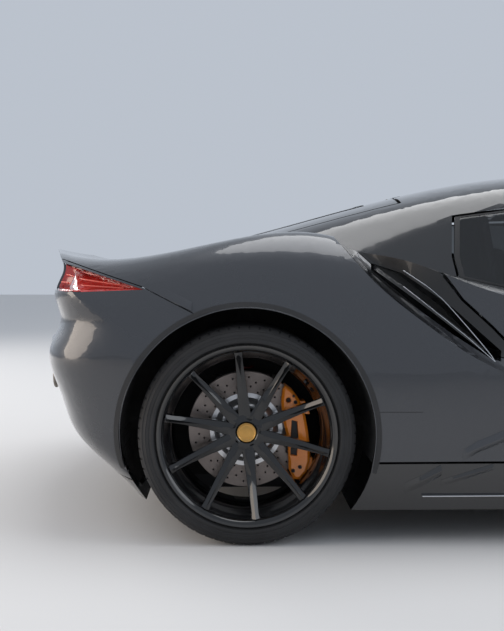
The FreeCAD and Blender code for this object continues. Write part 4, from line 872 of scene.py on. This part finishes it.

# Along each side: pressed feature lines that rise from the sill over the door, a seam behind it, the edges of
# the sill's and the intake's blades in light satin metal as painted highlights, flush door handles and, on
# the left, the filler's cap.
PROUD = 0.0003
TAIL_STEPS, TAIL_FADE = 8, 12
CREASE = ((1.5, 0.0), (1.2, 0.08), (0.3, 1.0), (0.0, 1.1), (-0.5, 0.9), (-1.4, 0.0))
for side, sign in SIDES:
    for name, on, body, slot, material, height, ends, line in (
        ("sill", "sills", "chassis", "gloss_black", gloss_black_and_painted_shade, 0.0125, (14, 6),
         [(-0.955, 0.180), (-0.90, 0.205), (-0.845, 0.236), (-0.828, 0.246)]),
        ("quarter", "quarters", "chassis", "paint", paint, 0.0125, (6, 0),
         [(-0.775, 0.283), (-0.73, 0.310), (-0.648, 0.343), (-0.612, 0.353)]),
        ("door", f"door_{side}", f"door_{side}", "paint", paint, 0.0125, (0, 10),
         [(-0.592, 0.358), (-0.50, 0.377), (-0.20, 0.400), (0.20, 0.394), (0.50, 0.364), (0.60, 0.348)]),
        ("sill_low", "sills", "chassis", "gloss_black", gloss_black_and_painted_shade, 0.007, (8, 4),
         [(-0.841, 0.197), (-0.76, 0.222), (-0.69, 0.244), (-0.668, 0.250)]),
        ("door_low", f"door_{side}", f"door_{side}", "paint", paint, 0.007, (3, 8),
         [(-0.592, 0.286), (-0.50, 0.296), (-0.20, 0.312), (0.20, 0.307), (0.50, 0.288), (0.60, 0.278)]),
    ):
        last = SIDE_STEPS * (len(line) - 1)
        rows = []
        for rise, lift in CREASE:
            row = side_line([on], [(x, z + rise * height) for x, z in line], sign)
            for i, place in enumerate(row):
                grown = min(1.0, i / ends[0] if ends[0] else 1.0, (last - i) / ends[1] if ends[1] else 1.0)
                row[i] = place and place + Vector((0, sign * (lift * height * grown + PROUD), 0))
            rows.append(row)
        strip(rows, f"feature_line_{name}_{side}", body, material)
    tail_line = [(-1.775, 0.804), (-1.72, 0.778), (-1.66, 0.748), (-1.617, 0.727)]
    rows = []
    for rise, lift in ((0.034, 0.0), (0.030, 0.001), (0.008, 0.0075), (0.0055, 0.0075), (0.003, 0.004),
                       (0.0025, 0.0)):
        row = side_line(["quarters", "rear_deck"], [(x, z + rise) for x, z in tail_line], sign, TAIL_STEPS)
        for i, place in enumerate(row):
            grown = min(1.0, max(0, i - TAIL_STEPS) / TAIL_FADE)
            row[i] = place and place + Vector((0, sign * (lift * grown + PROUD), 0))
        rows.append(row)
    strip(rows, f"tail_crease_{side}", "chassis", paint)
    seam = tube_along(side_line(["quarters"], [(-1.052, 0.421), (-0.90, 0.420)], sign, lift=-0.0002), 0.0018)
    fitted(seam, f"quarter_seam_{side}", "chassis", seam_black, 60)
    # Painted highlight: the sill's blade is light satin metal, so that its edge shows as a bright line.
    line = [(-0.90, 0.157), (-0.60, 0.156), (0.0, 0.155), (0.60, 0.155), (0.72, 0.157)]
    edge = [place for place in side_line(["sills"], line, sign) if place]
    outline = [(place.x, place.y - sign * 0.004) for place in edge]
    outline += [(place.x, place.y + sign * 0.011) for place in reversed(edge)]
    blade = rounded(plate(outline, 0.1545, 0.1585, 2), 0.0012, 2)
    fitted(blade, f"sill_blade_{side}", "chassis", satin_metal_and_painted_highlight)
    # Painted highlight: light satin metal strips on the intake's painted edges, which show as bright lines.
    for name, line in (
        ("lower", ((0.442, 0.886), (0.517, 0.806), (0.622, 0.714), (0.700, 0.648), (0.779, 0.572))),
        ("upper", ((0.520, 0.858), (0.594, 0.802), (0.664, 0.735), (0.713, 0.687), (0.762, 0.637),
                   (0.800, 0.602), (0.800, 0.585), (0.779, 0.572))),
    ):
        edge = side_line(["side_intakes", "quarters"], [(REAR_AXLE_X + x, z) for x, z in line], sign, 4)
        edge = tube_along([place for place in edge if place and abs(place.y) > 0.70], 0.0035)
        fitted(edge, f"intake_edge_{name}_{side}", "chassis", satin_metal_and_painted_highlight, 60)
    grip = side_line([f"door_{side}"], [(-0.50, 0.632), (-0.32, 0.646)], sign, 2)
    handle = plate([(-0.505, 0.620), (-0.49, 0.612), (-0.32, 0.628), (-0.305, 0.642), (-0.318, 0.656),
                    (-0.492, 0.640)], *sorted((grip[1].y - sign * 0.010, grip[1].y + sign * 0.0035)))
    rounded(handle, 0.0025, 3)
    fitted(handle, f"door_handle_{side}", f"door_{side}", paint)
CAP_R = 0.075
CAP_X, CAP_Z = REAR_AXLE_X + 0.10, 0.905
cap_line = [(CAP_X + CAP_R * math.cos(a / 16 * math.pi), CAP_Z + CAP_R * math.sin(a / 16 * math.pi))
            for a in range(33)]
cap_seam = tube_along(side_line(["quarters"], cap_line, 1, 1, -0.0004), 0.0022)
fitted(cap_seam, "fuel_cap_seam", "chassis", seam_black, 60)

# The tray is made of bolted sections, with seams between them, rows of zinc-plated bolts, and four jacking
# pads and two drain covers of rubber.
bolt_zinc = finish_of("zinc_bolt", (0.42, 0.42, 0.40), 0.4, 0.9, (900, 0.1), 0.15)
skins["floor"] = tree_of(bpy.data.objects["floor_finished"])
seams, bolts, pads = [], [], []


def from_below(names, x, y, lift=0.0):
    """Where a line straight up at a place first meets one of the skins."""
    return skin_at(names, (x, y, -1), (0, 0, 1), lift)


for x in (-1.05, -0.55, 0.05, 0.62, 1.35):
    line = [from_below(["floor"], x, y / 10, 0.0002) for y in range(-6, 7)]
    line = [place for place in line if place]
    if len(line) > 3:
        seams.append(tube_along(line, 0.0030))
        for place in line[::2]:
            for bolt_x in (x - 0.022, x + 0.022):
                head = from_below(["floor"], bolt_x, place.y)
                if head:
                    bolts.append(rod(head + Vector((0, 0, 0.001)), head - Vector((0, 0, 0.0035)), 0.008, 6))
for x in (-0.92, 0.66):
    for side, sign in SIDES:
        foot = from_below(["floor", "sills"], x, sign * 0.70)
        pads.append(block(foot - Vector((0.045, 0.030, 0.010)), foot + Vector((0.045, 0.030, 0.002)), 0.003))
for x in (-1.25, -0.30):
    foot = from_below(["floor"], x, 0.0)
    pads.append(rod(foot + Vector((0, 0, 0.001)), foot - Vector((0, 0, 0.003)), 0.055, 40))
fitted(joined(*seams), "tray_seams", "chassis", seam_black, 60)
fitted(joined(*bolts), "tray_bolts", "chassis", bolt_zinc, 40)
fitted(joined(*pads), "jack_pads", "chassis", rubber, 50)

# Small fittings: round parking sensors, painted gloss black and set flush in the bumpers, and red reflectors
# of moulded plastic low at the rear.
reflector_red = finish_of("reflector_red", (0.42, 0.02, 0.018), 0.2, 0, (1400, 0.2), 0.3, coat=1.0)
SENSOR_Z = 0.46
for end, sign, spread in (("front", 1, (0.25, 0.62)), ("rear", -1, (0.28, 0.66))):
    rings = []
    for y in (spread[0], spread[1], -spread[0], -spread[1]):
        place, beyond = [skin_at([f"{end}_bumper"], (sign * 3.0, y, SENSOR_Z), (-sign, 0, 0), lift)
                         for lift in (0, 0.01)]
        if place:
            outward = (beyond - place).normalized()
            rings.append(rod(place - outward * 0.003, place + outward * 0.0008, 0.0105, 32))
    fitted(joined(*rings), f"parking_sensors_{end}", "chassis", gloss_black_and_painted_shade, 50)
for side, sign in SIDES:
    rows = [[skin_at(["rear_bumper"], (-3.0, sign * (0.52 + 0.016 * i), z), (1, 0, 0), lift)
             for i in range(9)]
            for z, lift in ((0.302, 0.0), (0.304, 0.0030), (0.320, 0.0030), (0.322, 0.0))]
    strip(rows, f"rear_reflector_{side}", "chassis", reflector_red)

# Exhaust: two large tips of brushed steel through the rear bumper, tinted by heat, with rolled edges.
steel = finish_of("brushed_steel_heated", (0.36, 0.33, 0.30), 0.3, 0.95, (1500, 0.15), 0.18)
soot_and_painted_shade = finish_of("exhaust_soot_and_painted_shade", (0.01, 0.0095, 0.009), 0.9, 0, (900, 0.5), 0.3)
panel("exhaust_tips", "chassis", steel, 40)
tip_low, tip_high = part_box("exhaust_tips")
TIP_R = (tip_high.z - tip_low.z) / 2
for name, sign in SIDES:
    centre = (0, sign * (tip_high.y - TIP_R), (tip_high.z + tip_low.z) / 2)
    edge = turned([(TIP_R + out, tip_low.x + along) for out, along in (
        (-0.0045, 0.006), (-0.0050, 0.002), (-0.0025, 0), (0.0010, 0.0008), (0.0028, 0.004), (0.0020, 0.008),
        (-0.0045, 0.006))], at=centre, axis=0)
    fitted(edge, f"exhaust_edge_{name}", "chassis", steel)
    # The baffle deep in each tip is near-black: soot, and painted shade inside the pipe.
    baffle = turned([(TIP_R - 0.006, tip_low.x + 0.20), (TIP_R - 0.006, tip_low.x + 0.205),
                     (0.030, tip_low.x + 0.200), (0.030, tip_low.x + 0.26), (0, tip_low.x + 0.262)],
                    at=centre, axis=0, corners=40)
    fitted(baffle, f"exhaust_baffle_{name}", "chassis", soot_and_painted_shade)

# Glass: a bonded windscreen, tinted windows in the doors and a tinted one in the lid, over the engine. Each
# has a black edge, printed on it and fired.


def window_glass(name, tint):
    """Tinted safety glass."""
    finish = Finish(name, Roughness=0.0, Transmission_Weight=1.0, IOR=1.45, Coat_Weight=0.3)
    finish.tones(finish.noise(4.0), [c * 0.97 for c in tint], tint)
    return finish.material


PRINT_GAP = 0.0011


def printed_edge(node, name, body, width, outward):
    """The black band printed round a pane: rows of places from its outer rim inwards, just off the glass."""
    mesh = nodes[node].data
    where = [tuple(round(c, 5) for c in corner.co) for corner in mesh.vertices]
    faces = [[where[i] for i in face.vertices] for face in mesh.polygons if outward(face.normal)]
    used = {}
    for face in faces:
        for pair_of in zip(face, face[1:] + face[:1]):
            key = frozenset(pair_of)
            used[key] = used.get(key, 0) + 1
    beside = {}
    for key in (key for key, count in used.items() if count == 1 and len(key) == 2):
        a, b = key
        beside.setdefault(a, []).append(b)
        beside.setdefault(b, []).append(a)
    rim = [min(beside)]
    while True:
        onward = [place for place in beside[rim[-1]]
                  if place not in rim[-2:] and (place not in rim or place == rim[0])]
        if not onward or onward[0] == rim[0]:
            break
        rim.append(onward[0])
    spaced = [Vector(rim[0])]
    for place in rim[1:]:
        if (Vector(place) - spaced[-1]).length > 0.008:
            spaced.append(Vector(place))
    corners = sorted({place for face in faces for place in face})
    number = {place: i for i, place in enumerate(corners)}
    pane = BVHTree.FromPolygons(corners, [[number[place] for place in face] for face in faces])
    centre = sum(spaced, Vector()) / len(spaced)
    rows = []
    for share in (0.06, 0.35, 0.68, 1.0):
        row = []
        for place in spaced:
            found, normal, _, _ = pane.find_nearest(place + (centre - place).normalized() * width * share)
            row.append(found + normal * (PRINT_GAP if outward(normal) else -PRINT_GAP))
        rows.append(row + row[:1])
    return strip(rows, name, body, grille_black)


screen_glass = window_glass("screen_glass", (0.62, 0.70, 0.69))
side_glass = window_glass("side_glass_tinted", (0.16, 0.17, 0.175))
skins["windscreen"] = tree_of(panel("windscreen", "chassis", screen_glass, 40))
printed_edge("windscreen", "windscreen_print", "chassis", 0.045, lambda normal: normal.z > 0.25)
panel("engine_lid_glass", "engine_lid", side_glass, 40)
printed_edge("engine_lid_glass", "engine_lid_print", "engine_lid", 0.028, lambda normal: normal.z > 0.25)
for side, sign in SIDES:
    panel(f"door_glass_{side}", f"door_{side}", side_glass, 40)
    printed_edge(f"door_glass_{side}", f"door_glass_print_{side}", f"door_{side}", 0.018,
                 lambda normal: normal.y * sign > 0.3)

# Wipers, parked at the foot of the screen: painted steel arms on spindles in the trough, each with a flat
# blade of rubber that rests on the glass.


def from_above(names, x, y, lift=0.0):
    """Where a line straight down at a place first meets one of the skins."""
    return skin_at(names, (x, y, 3), (0, 0, -1), lift)


for name, root_y, tip_y in (("left", 0.30, -0.28), ("right", -0.22, -0.56)):
    foot = from_above(["cowl"], 0.95, root_y)
    along = []
    for i in range(9):
        x, y = 0.84 - 0.03 * math.sin(i / 8 * math.pi), root_y + (tip_y - root_y) * i / 8
        along.append(from_above(["windscreen"], x, y, 0.012))
    along = [place for place in along if place]
    spindle = rod(foot + Vector((0, 0, -0.01)), foot + Vector((0, 0, 0.03)), 0.011)
    arm = tube_along([foot + Vector((0, 0, 0.026)), foot + Vector((-0.02, 0, 0.034)), *along[2:5]], 0.009)
    blade = tube_along([place - Vector((0, 0, 0.004)) for place in along], 0.010)
    fitted(joined(spindle, arm, blade), f"wiper_{name}", "chassis", grained_black, 50)

# Mirrors have heated glass in the back of each housing, and the screen carries a small one on a bonded foot.
mirror_silver = finish_of("mirror_silver", (0.90, 0.91, 0.92), 0.02, 1.0, (900, 0.01), 0.01)
for side, sign in SIDES:
    low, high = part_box(f"mirror_{side}")
    out = max(abs(low.y), abs(high.y))
    face = [(sign * (out - inward), high.z - down) for inward, down in (
        (0.020, 0.020), (0.012, 0.050), (0.026, 0.084), (0.150, 0.080), (0.158, 0.050), (0.148, 0.020))]
    glass = rounded(plate(face, low.x - 0.0012, low.x + 0.002, 0), 0.0008, 2)
    fitted(glass, f"mirror_glass_{side}", f"door_{side}", mirror_silver)
top = from_above(["windscreen"], 0.30, 0) - Vector((0, 0, 0.008))
stem = rod(top, top + Vector((-0.035, 0, -0.035)), 0.006)
pad = block(top + Vector((-0.046, -0.105, -0.068)), top + Vector((-0.028, 0.105, -0.014)), 0.007, 3)
fitted(joined(stem, pad), "interior_mirror", "chassis", grained_black)

# Lamps: in front, clear covers over black bowls, each with three projectors and a thin light guide. Behind,
# red lenses with three light bars each, deep under the tail's lip.
lamp_clear = window_glass("lamp_cover_clear", (0.94, 0.95, 0.96))
lens_red = finish_of("lamp_lens_red", (0.56, 0.035, 0.028), 0.16, 0, (500, 0.12), 0.15, coat=1.0,
                     Transmission_Weight=0.15)
bar_red = finish_of("lamp_light_bar", (0.86, 0.16, 0.12), 0.25, 0, (900, 0.02), 0.05, coat=0.6)
bright = finish_of("lamp_reflector", (0.80, 0.81, 0.82), 0.12, 1.0, (900, 0.02), 0.05)
bowl_black = finish_of("lamp_bowl_black", (0.012, 0.012, 0.013), 0.3, 0.3, (900, 0.05), 0.1)
guide_white = finish_of("light_guide", (0.86, 0.88, 0.90), 0.25, 0, (800, 0.05), 0.03)
PROJECTOR_DEPTH = 0.034
bowl = smooth_copy("headlamps")
open_mesh()
pick(lambda at, normal: normal.z > 0.3)
bpy.ops.mesh.separate(type="SELECTED")
close_mesh()
cover = next(piece for piece in bpy.context.selected_objects if piece is not bowl)
skins["lamp_cover"] = tree_of(cover)
apply_modifier(cover, "SOLIDIFY", thickness=0.003, offset=-1)
fitted(cover, "headlamp_cover", "chassis", lamp_clear, 35, ["headlamps"])
apply_modifier(bowl, "SOLIDIFY", thickness=0.002, offset=-1)
fitted(bowl, "headlamp_bowl", "chassis", bowl_black, 35)
for side, sign in SIDES:
    for i, (x, y) in enumerate(((0.42, 0.755), (0.53, 0.708), (0.62, 0.665))):
        top = from_above(["lamp_cover"], FRONT_AXLE_X + x, sign * y)
        front, centre = top.x, (0, top.y, top.z - PROJECTOR_DEPTH)
        ring = turned([(radius, front + along) for radius, along in (
            (0.0190, -0.024), (0.0200, -0.004), (0.0210, 0), (0.0190, 0.0015), (0.0160, -0.001),
            (0.0155, -0.022), (0.0190, -0.024))], at=centre, axis=0, corners=40)
        eye = turned([(radius, front + along) for radius, along in (
            (0.0158, -0.010), (0.0140, -0.005), (0.0100, -0.001), (0.0050, 0.0015), (0, 0.0022))],
            at=centre, axis=0, corners=32)
        fitted(ring, f"headlamp_bezel_{side}_{i + 1}", "chassis", bright)
        fitted(eye, f"headlamp_projector_{side}_{i + 1}", "chassis", guide_white)
    guide = [from_above(["lamp_cover"], FRONT_AXLE_X + x, sign * y, -0.012) for x, y in (
        (0.34, 0.745), (0.40, 0.722), (0.48, 0.690), (0.56, 0.650), (0.64, 0.612), (0.685, 0.596))]
    fitted(tube_along(guide, 0.006), f"headlamp_light_guide_{side}", "chassis", guide_white, 60)
skins["tail_lamps"] = tree_of(panel("tail_lamps", "chassis", lens_red, 35))
for side, sign in SIDES:
    for i, (x0, x1, z0, z1) in enumerate(((-1.80, -2.13, 0.8125, 0.8800), (-1.82, -2.12, 0.8060, 0.8480),
                                          (-1.84, -2.11, 0.8005, 0.8170))):
        bar = side_line(["tail_lamps"], [(x0, z0), (x1, z1)], sign, 10, 0.001)
        fitted(tube_along(bar, 0.0055), f"tail_light_bar_{side}_{i + 1}", "chassis", bar_red, 60)

# The cabin: a dashboard in black leather with a screen, vents and an instrument hood, a console on the
# tunnel, cards, rests and pulls on the doors, mats and pedals in the footwells. A luggage tub is in the nose.


def leather_of(name, colour):
    """Fine-grained leather with a soft sheen."""
    finish = Finish(name, Roughness=0.48, Sheen_Weight=0.15)
    cells = finish.node("ShaderNodeTexVoronoi", Scale=520.0)
    cells.feature = "DISTANCE_TO_EDGE"
    finish.tones(finish.noise(14.0, 4.0), [c * 0.8 for c in colour], [c * 1.2 for c in colour])
    finish.relief(cells.outputs["Distance"], 0.35, 0.0008)
    return finish.material


black_leather = leather_of("black_leather", (0.026, 0.025, 0.024))
tan_leather = leather_of("dark_tan_leather", (0.115, 0.055, 0.030))
stitch = finish_of("orange_stitching", (0.55, 0.16, 0.02), 0.7, 0, (600, 0.3), 0.1)
screen_black = finish_of("screen_black_glass", (0.004, 0.004, 0.005), 0.06, 0, (900, 0.01), 0.05, coat=1.0)
carpet = finish_of("black_carpet", (0.014, 0.014, 0.015), 0.95, 0, (1600, 0.9), 0.3)
panel("dashboard", "chassis", black_leather, 30)
panel("steering_wheel", "chassis", black_leather, 40)
DASH_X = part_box("dashboard")[0].x
WHEEL_LOW, WHEEL_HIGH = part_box("steering_wheel")
WHEEL_Y = (WHEEL_LOW.y + WHEEL_HIGH.y) / 2
hood = plate([(DASH_X + back, z) for back, z in (
    (0.045, 0.700), (0.020, 0.735), (0.06, 0.762), (0.15, 0.748), (0.17, 0.715))],
    WHEEL_Y - 0.17, WHEEL_Y + 0.17)
fitted(rounded(hood, 0.010, 3, 25), "instrument_hood", "chassis", black_leather)
dial = plate([(DASH_X + back, z) for back, z in (
    (0.026, 0.700), (0.018, 0.732), (0.024, 0.733), (0.032, 0.700))], WHEEL_Y - 0.145, WHEEL_Y + 0.145)
fitted(rounded(dial, 0.001), "instrument_screen", "chassis", screen_black)
tablet = block((DASH_X - 0.012, -0.075, 0.560), (DASH_X + 0.006, 0.105, 0.700), 0.004, 3)
fitted(tablet, "centre_screen", "chassis", screen_black)
vents = []
for y in (-0.56, -0.18, 0.16, 0.58):
    vents += [block((DASH_X - 0.004, y - 0.045, z), (DASH_X + 0.012, y + 0.045, z + 0.004), 0.001)
              for z in (0.650, 0.660, 0.670, 0.680)]
    vents.append(block((DASH_X - 0.001, y - 0.052, 0.642), (DASH_X + 0.010, y + 0.052, 0.692), 0.004, 3))
fitted(joined(*vents), "dash_vents", "chassis", grained_black)
console = plate([(-0.55, 0.335), (-0.50, 0.395), (-0.20, 0.372), (0.30, 0.44), (0.47, 0.55), (0.50, 0.335)],
                -0.088, 0.088)
fitted(rounded(console, 0.012, 3, 25), "centre_console", "chassis", black_leather)
keys = []
for i in range(3):
    x, z = 0.02 + 0.05 * i, 0.396 + 0.0058 * i
    keys += [block((x, y, z), (x + 0.035, y + 0.030, z + 0.018), 0.003) for y in (-0.055, -0.015, 0.025)]
fitted(joined(*keys), "console_keys", "chassis", screen_black)
mats = [block((-0.05, y - 0.21, 0.156), (0.72, y + 0.21, 0.166), 0.003) for y in (0.36, -0.36)]
fitted(joined(*mats), "floor_mats", "chassis", carpet)
luggage = box_piece((1.30, -0.30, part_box("floor")[1].z + 0.002), (1.72, 0.30, 0.50))
open_mesh()
pick(lambda at, normal: normal.z > 0.9)
bpy.ops.mesh.delete(type="FACE")
close_mesh()
apply_modifier(luggage, "SOLIDIFY", thickness=0.008, offset=-1)
fitted(luggage, "luggage_tub", "chassis", carpet)
pedals = []
for y, top in ((0.29, 0.34), (0.42, 0.36)):
    pedals += [block((0.665, y - 0.035, top - 0.13), (0.677, y + 0.035, top), 0.004),
               rod((0.675, y, top - 0.05), (0.755, y, 0.52), 0.009)]
fitted(joined(*pedals), "pedals", "chassis", satin_metal_and_painted_highlight)
for side, sign in SIDES:
    y = skin_at([f"door_{side}"], (0.0, sign * 0.3, 0.55), (0, sign, 0)).y
    card = plate([(-0.50, 0.33), (-0.52, 0.62), (-0.46, 0.70), (0.45, 0.70), (0.50, 0.60), (0.50, 0.33)],
                 *sorted((y - sign * 0.004, y - sign * 0.016)))
    fitted(rounded(card, 0.005, 3), f"door_card_{side}", f"door_{side}", black_leather)
    rest = plate([(-0.40, 0.50), (-0.40, 0.535), (0.18, 0.565), (0.24, 0.545), (0.18, 0.505)],
                 *sorted((y - sign * 0.014, y - sign * 0.060)))
    fitted(rounded(rest, 0.012, 4, 25), f"door_armrest_{side}", f"door_{side}", tan_leather)
    pull = tube_along([(x, y - sign * inward, z) for x, inward, z in (
        (0.26, 0.012, 0.56), (0.27, 0.045, 0.575), (0.33, 0.045, 0.60), (0.34, 0.012, 0.61))], 0.014)
    fitted(pull, f"door_pull_{side}", f"door_{side}", satin_metal_and_painted_highlight, 60)

# Seats: a moulded shell bolted to the tub, with a stuffed cushion, side bolsters, a back and a head rest in
# leather, piped in orange thread. The stuffing is swelled as cloth under pressure.
SEAT_WIDTH = 0.47
MOST_SWELL = 0.007


def seat_pad(name, y, parts, piping):
    """A stuffed leather pad and its piping: rough blocks fused and swelled under pressure by a few mm."""
    pad = joined(*[rounded(plate(outline, y + low, y + high), 0.022, 3, 25) for outline, low, high in parts])
    apply_modifier(pad, "REMESH", mode="VOXEL", voxel_size=0.0075)
    apply_modifier(pad, "SMOOTH", factor=0.5, iterations=6)
    before = [v.co.copy() for v in pad.data.vertices]
    cloth = pad.modifiers.new("cloth", "CLOTH")
    cloth.settings.use_pressure = True
    cloth.settings.uniform_pressure_force = 4
    cloth.settings.quality = 4
    cloth.settings.effector_weights.gravity = 0
    cloth.collision_settings.use_collision = False
    for step in range(1, 15):
        scene.frame_set(step)
    take(pad)
    bpy.ops.object.modifier_apply(modifier=cloth.name)
    scene.frame_set(1)
    for corner, start in zip(pad.data.vertices, before):
        move = corner.co - start
        if move.length > MOST_SWELL:
            corner.co = start + move.normalized() * MOST_SWELL
    apply_modifier(pad, "SMOOTH", factor=0.5, iterations=3)
    tree = tree_of(pad)
    lines = []
    for line in piping:
        found = [tree.find_nearest(Vector((x, y + dy, z))) for x, dy, z in line]
        lines.append(tube_along([place + normal * 0.0012 for place, normal, _, _ in found], 0.0045))
    return pad, joined(*lines)


CUSHION_SIDE = [(-0.40, 0.275), (-0.38, 0.350), (-0.08, 0.368), (-0.03, 0.330), (-0.05, 0.275)]
CUSHION = [
    ([(-0.43, 0.285), (-0.42, 0.325), (-0.30, 0.318), (-0.05, 0.345), (-0.012, 0.325), (-0.03, 0.285)],
     -0.15, 0.15),
    (CUSHION_SIDE, -0.222, -0.13), (CUSHION_SIDE, 0.13, 0.222),
]
BACK_SIDE = [(-0.48, 0.375), (-0.385, 0.385), (-0.400, 0.56), (-0.465, 0.74), (-0.535, 0.76), (-0.525, 0.56)]
BACK = [
    ([(-0.46, 0.335), (-0.395, 0.345), (-0.445, 0.56), (-0.495, 0.80), (-0.545, 0.80), (-0.515, 0.56)],
     -0.145, 0.145),
    (BACK_SIDE, -0.222, -0.13), (BACK_SIDE, 0.13, 0.222),
    ([(-0.560, 0.79), (-0.500, 0.79), (-0.508, 0.945), (-0.565, 0.945)], -0.115, 0.115),
]
SHELL = [(-0.02, 0.200), (-0.02, 0.285), (-0.38, 0.290), (-0.47, 0.335), (-0.54, 0.58), (-0.552, 0.74),
         (-0.560, 0.86), (-0.565, 0.955), (-0.578, 0.955), (-0.577, 0.86), (-0.575, 0.74), (-0.570, 0.60),
         (-0.520, 0.36), (-0.48, 0.200)]
NARROW_FROM, NARROW_OVER, NARROW_BY = 0.60, 0.36, 0.45
seat_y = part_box("seats")[1].y - SEAT_WIDTH / 2
made = []
for name, parts, piping in (
    ("cushion", CUSHION, [[(-0.38 + 0.045 * i, dy, 0.36) for i in range(8)] for dy in (-0.14, 0.14)]
     + [[(-0.14, -0.13 + 0.026 * i, 0.36) for i in range(11)]]),
    ("back", BACK, [[(-0.40 - 0.012 * i, dy, 0.40 + 0.04 * i) for i in range(10)] for dy in (-0.138, 0.138)]
     + [[(-0.42, -0.13 + 0.026 * i, 0.62) for i in range(11)]]),
):
    made.append((name, *seat_pad(name, seat_y, parts, piping)))
for side, flip in (("left", False), ("right", True)):
    for name, pad, lines in made:
        piece = copy_of(pad, flip=flip)
        fitted(piece, f"seat_{name}_{side}", "chassis", black_leather, 80,
               ["seats"] if (name, side) == ("back", "left") else ())
        fitted(copy_of(lines, flip=flip), f"seat_piping_{name}_{side}", "chassis", stitch, 60)
    back_shell = plate(SHELL, seat_y - 0.215, seat_y + 0.215)
    for corner in back_shell.data.vertices:
        high = min(max((corner.co.z - NARROW_FROM) / NARROW_OVER, 0.0), 1.0)
        corner.co.y = seat_y + (corner.co.y - seat_y) * (1 - NARROW_BY * high ** 1.5)
    rounded(back_shell, 0.012, 3, 20)
    if flip:
        source, back_shell = back_shell, copy_of(back_shell, flip=True)
        drop(source)
    fitted(back_shell, f"seat_shell_{side}", "chassis", grained_black)
for name, pad, lines in made:
    drop(pad, lines)
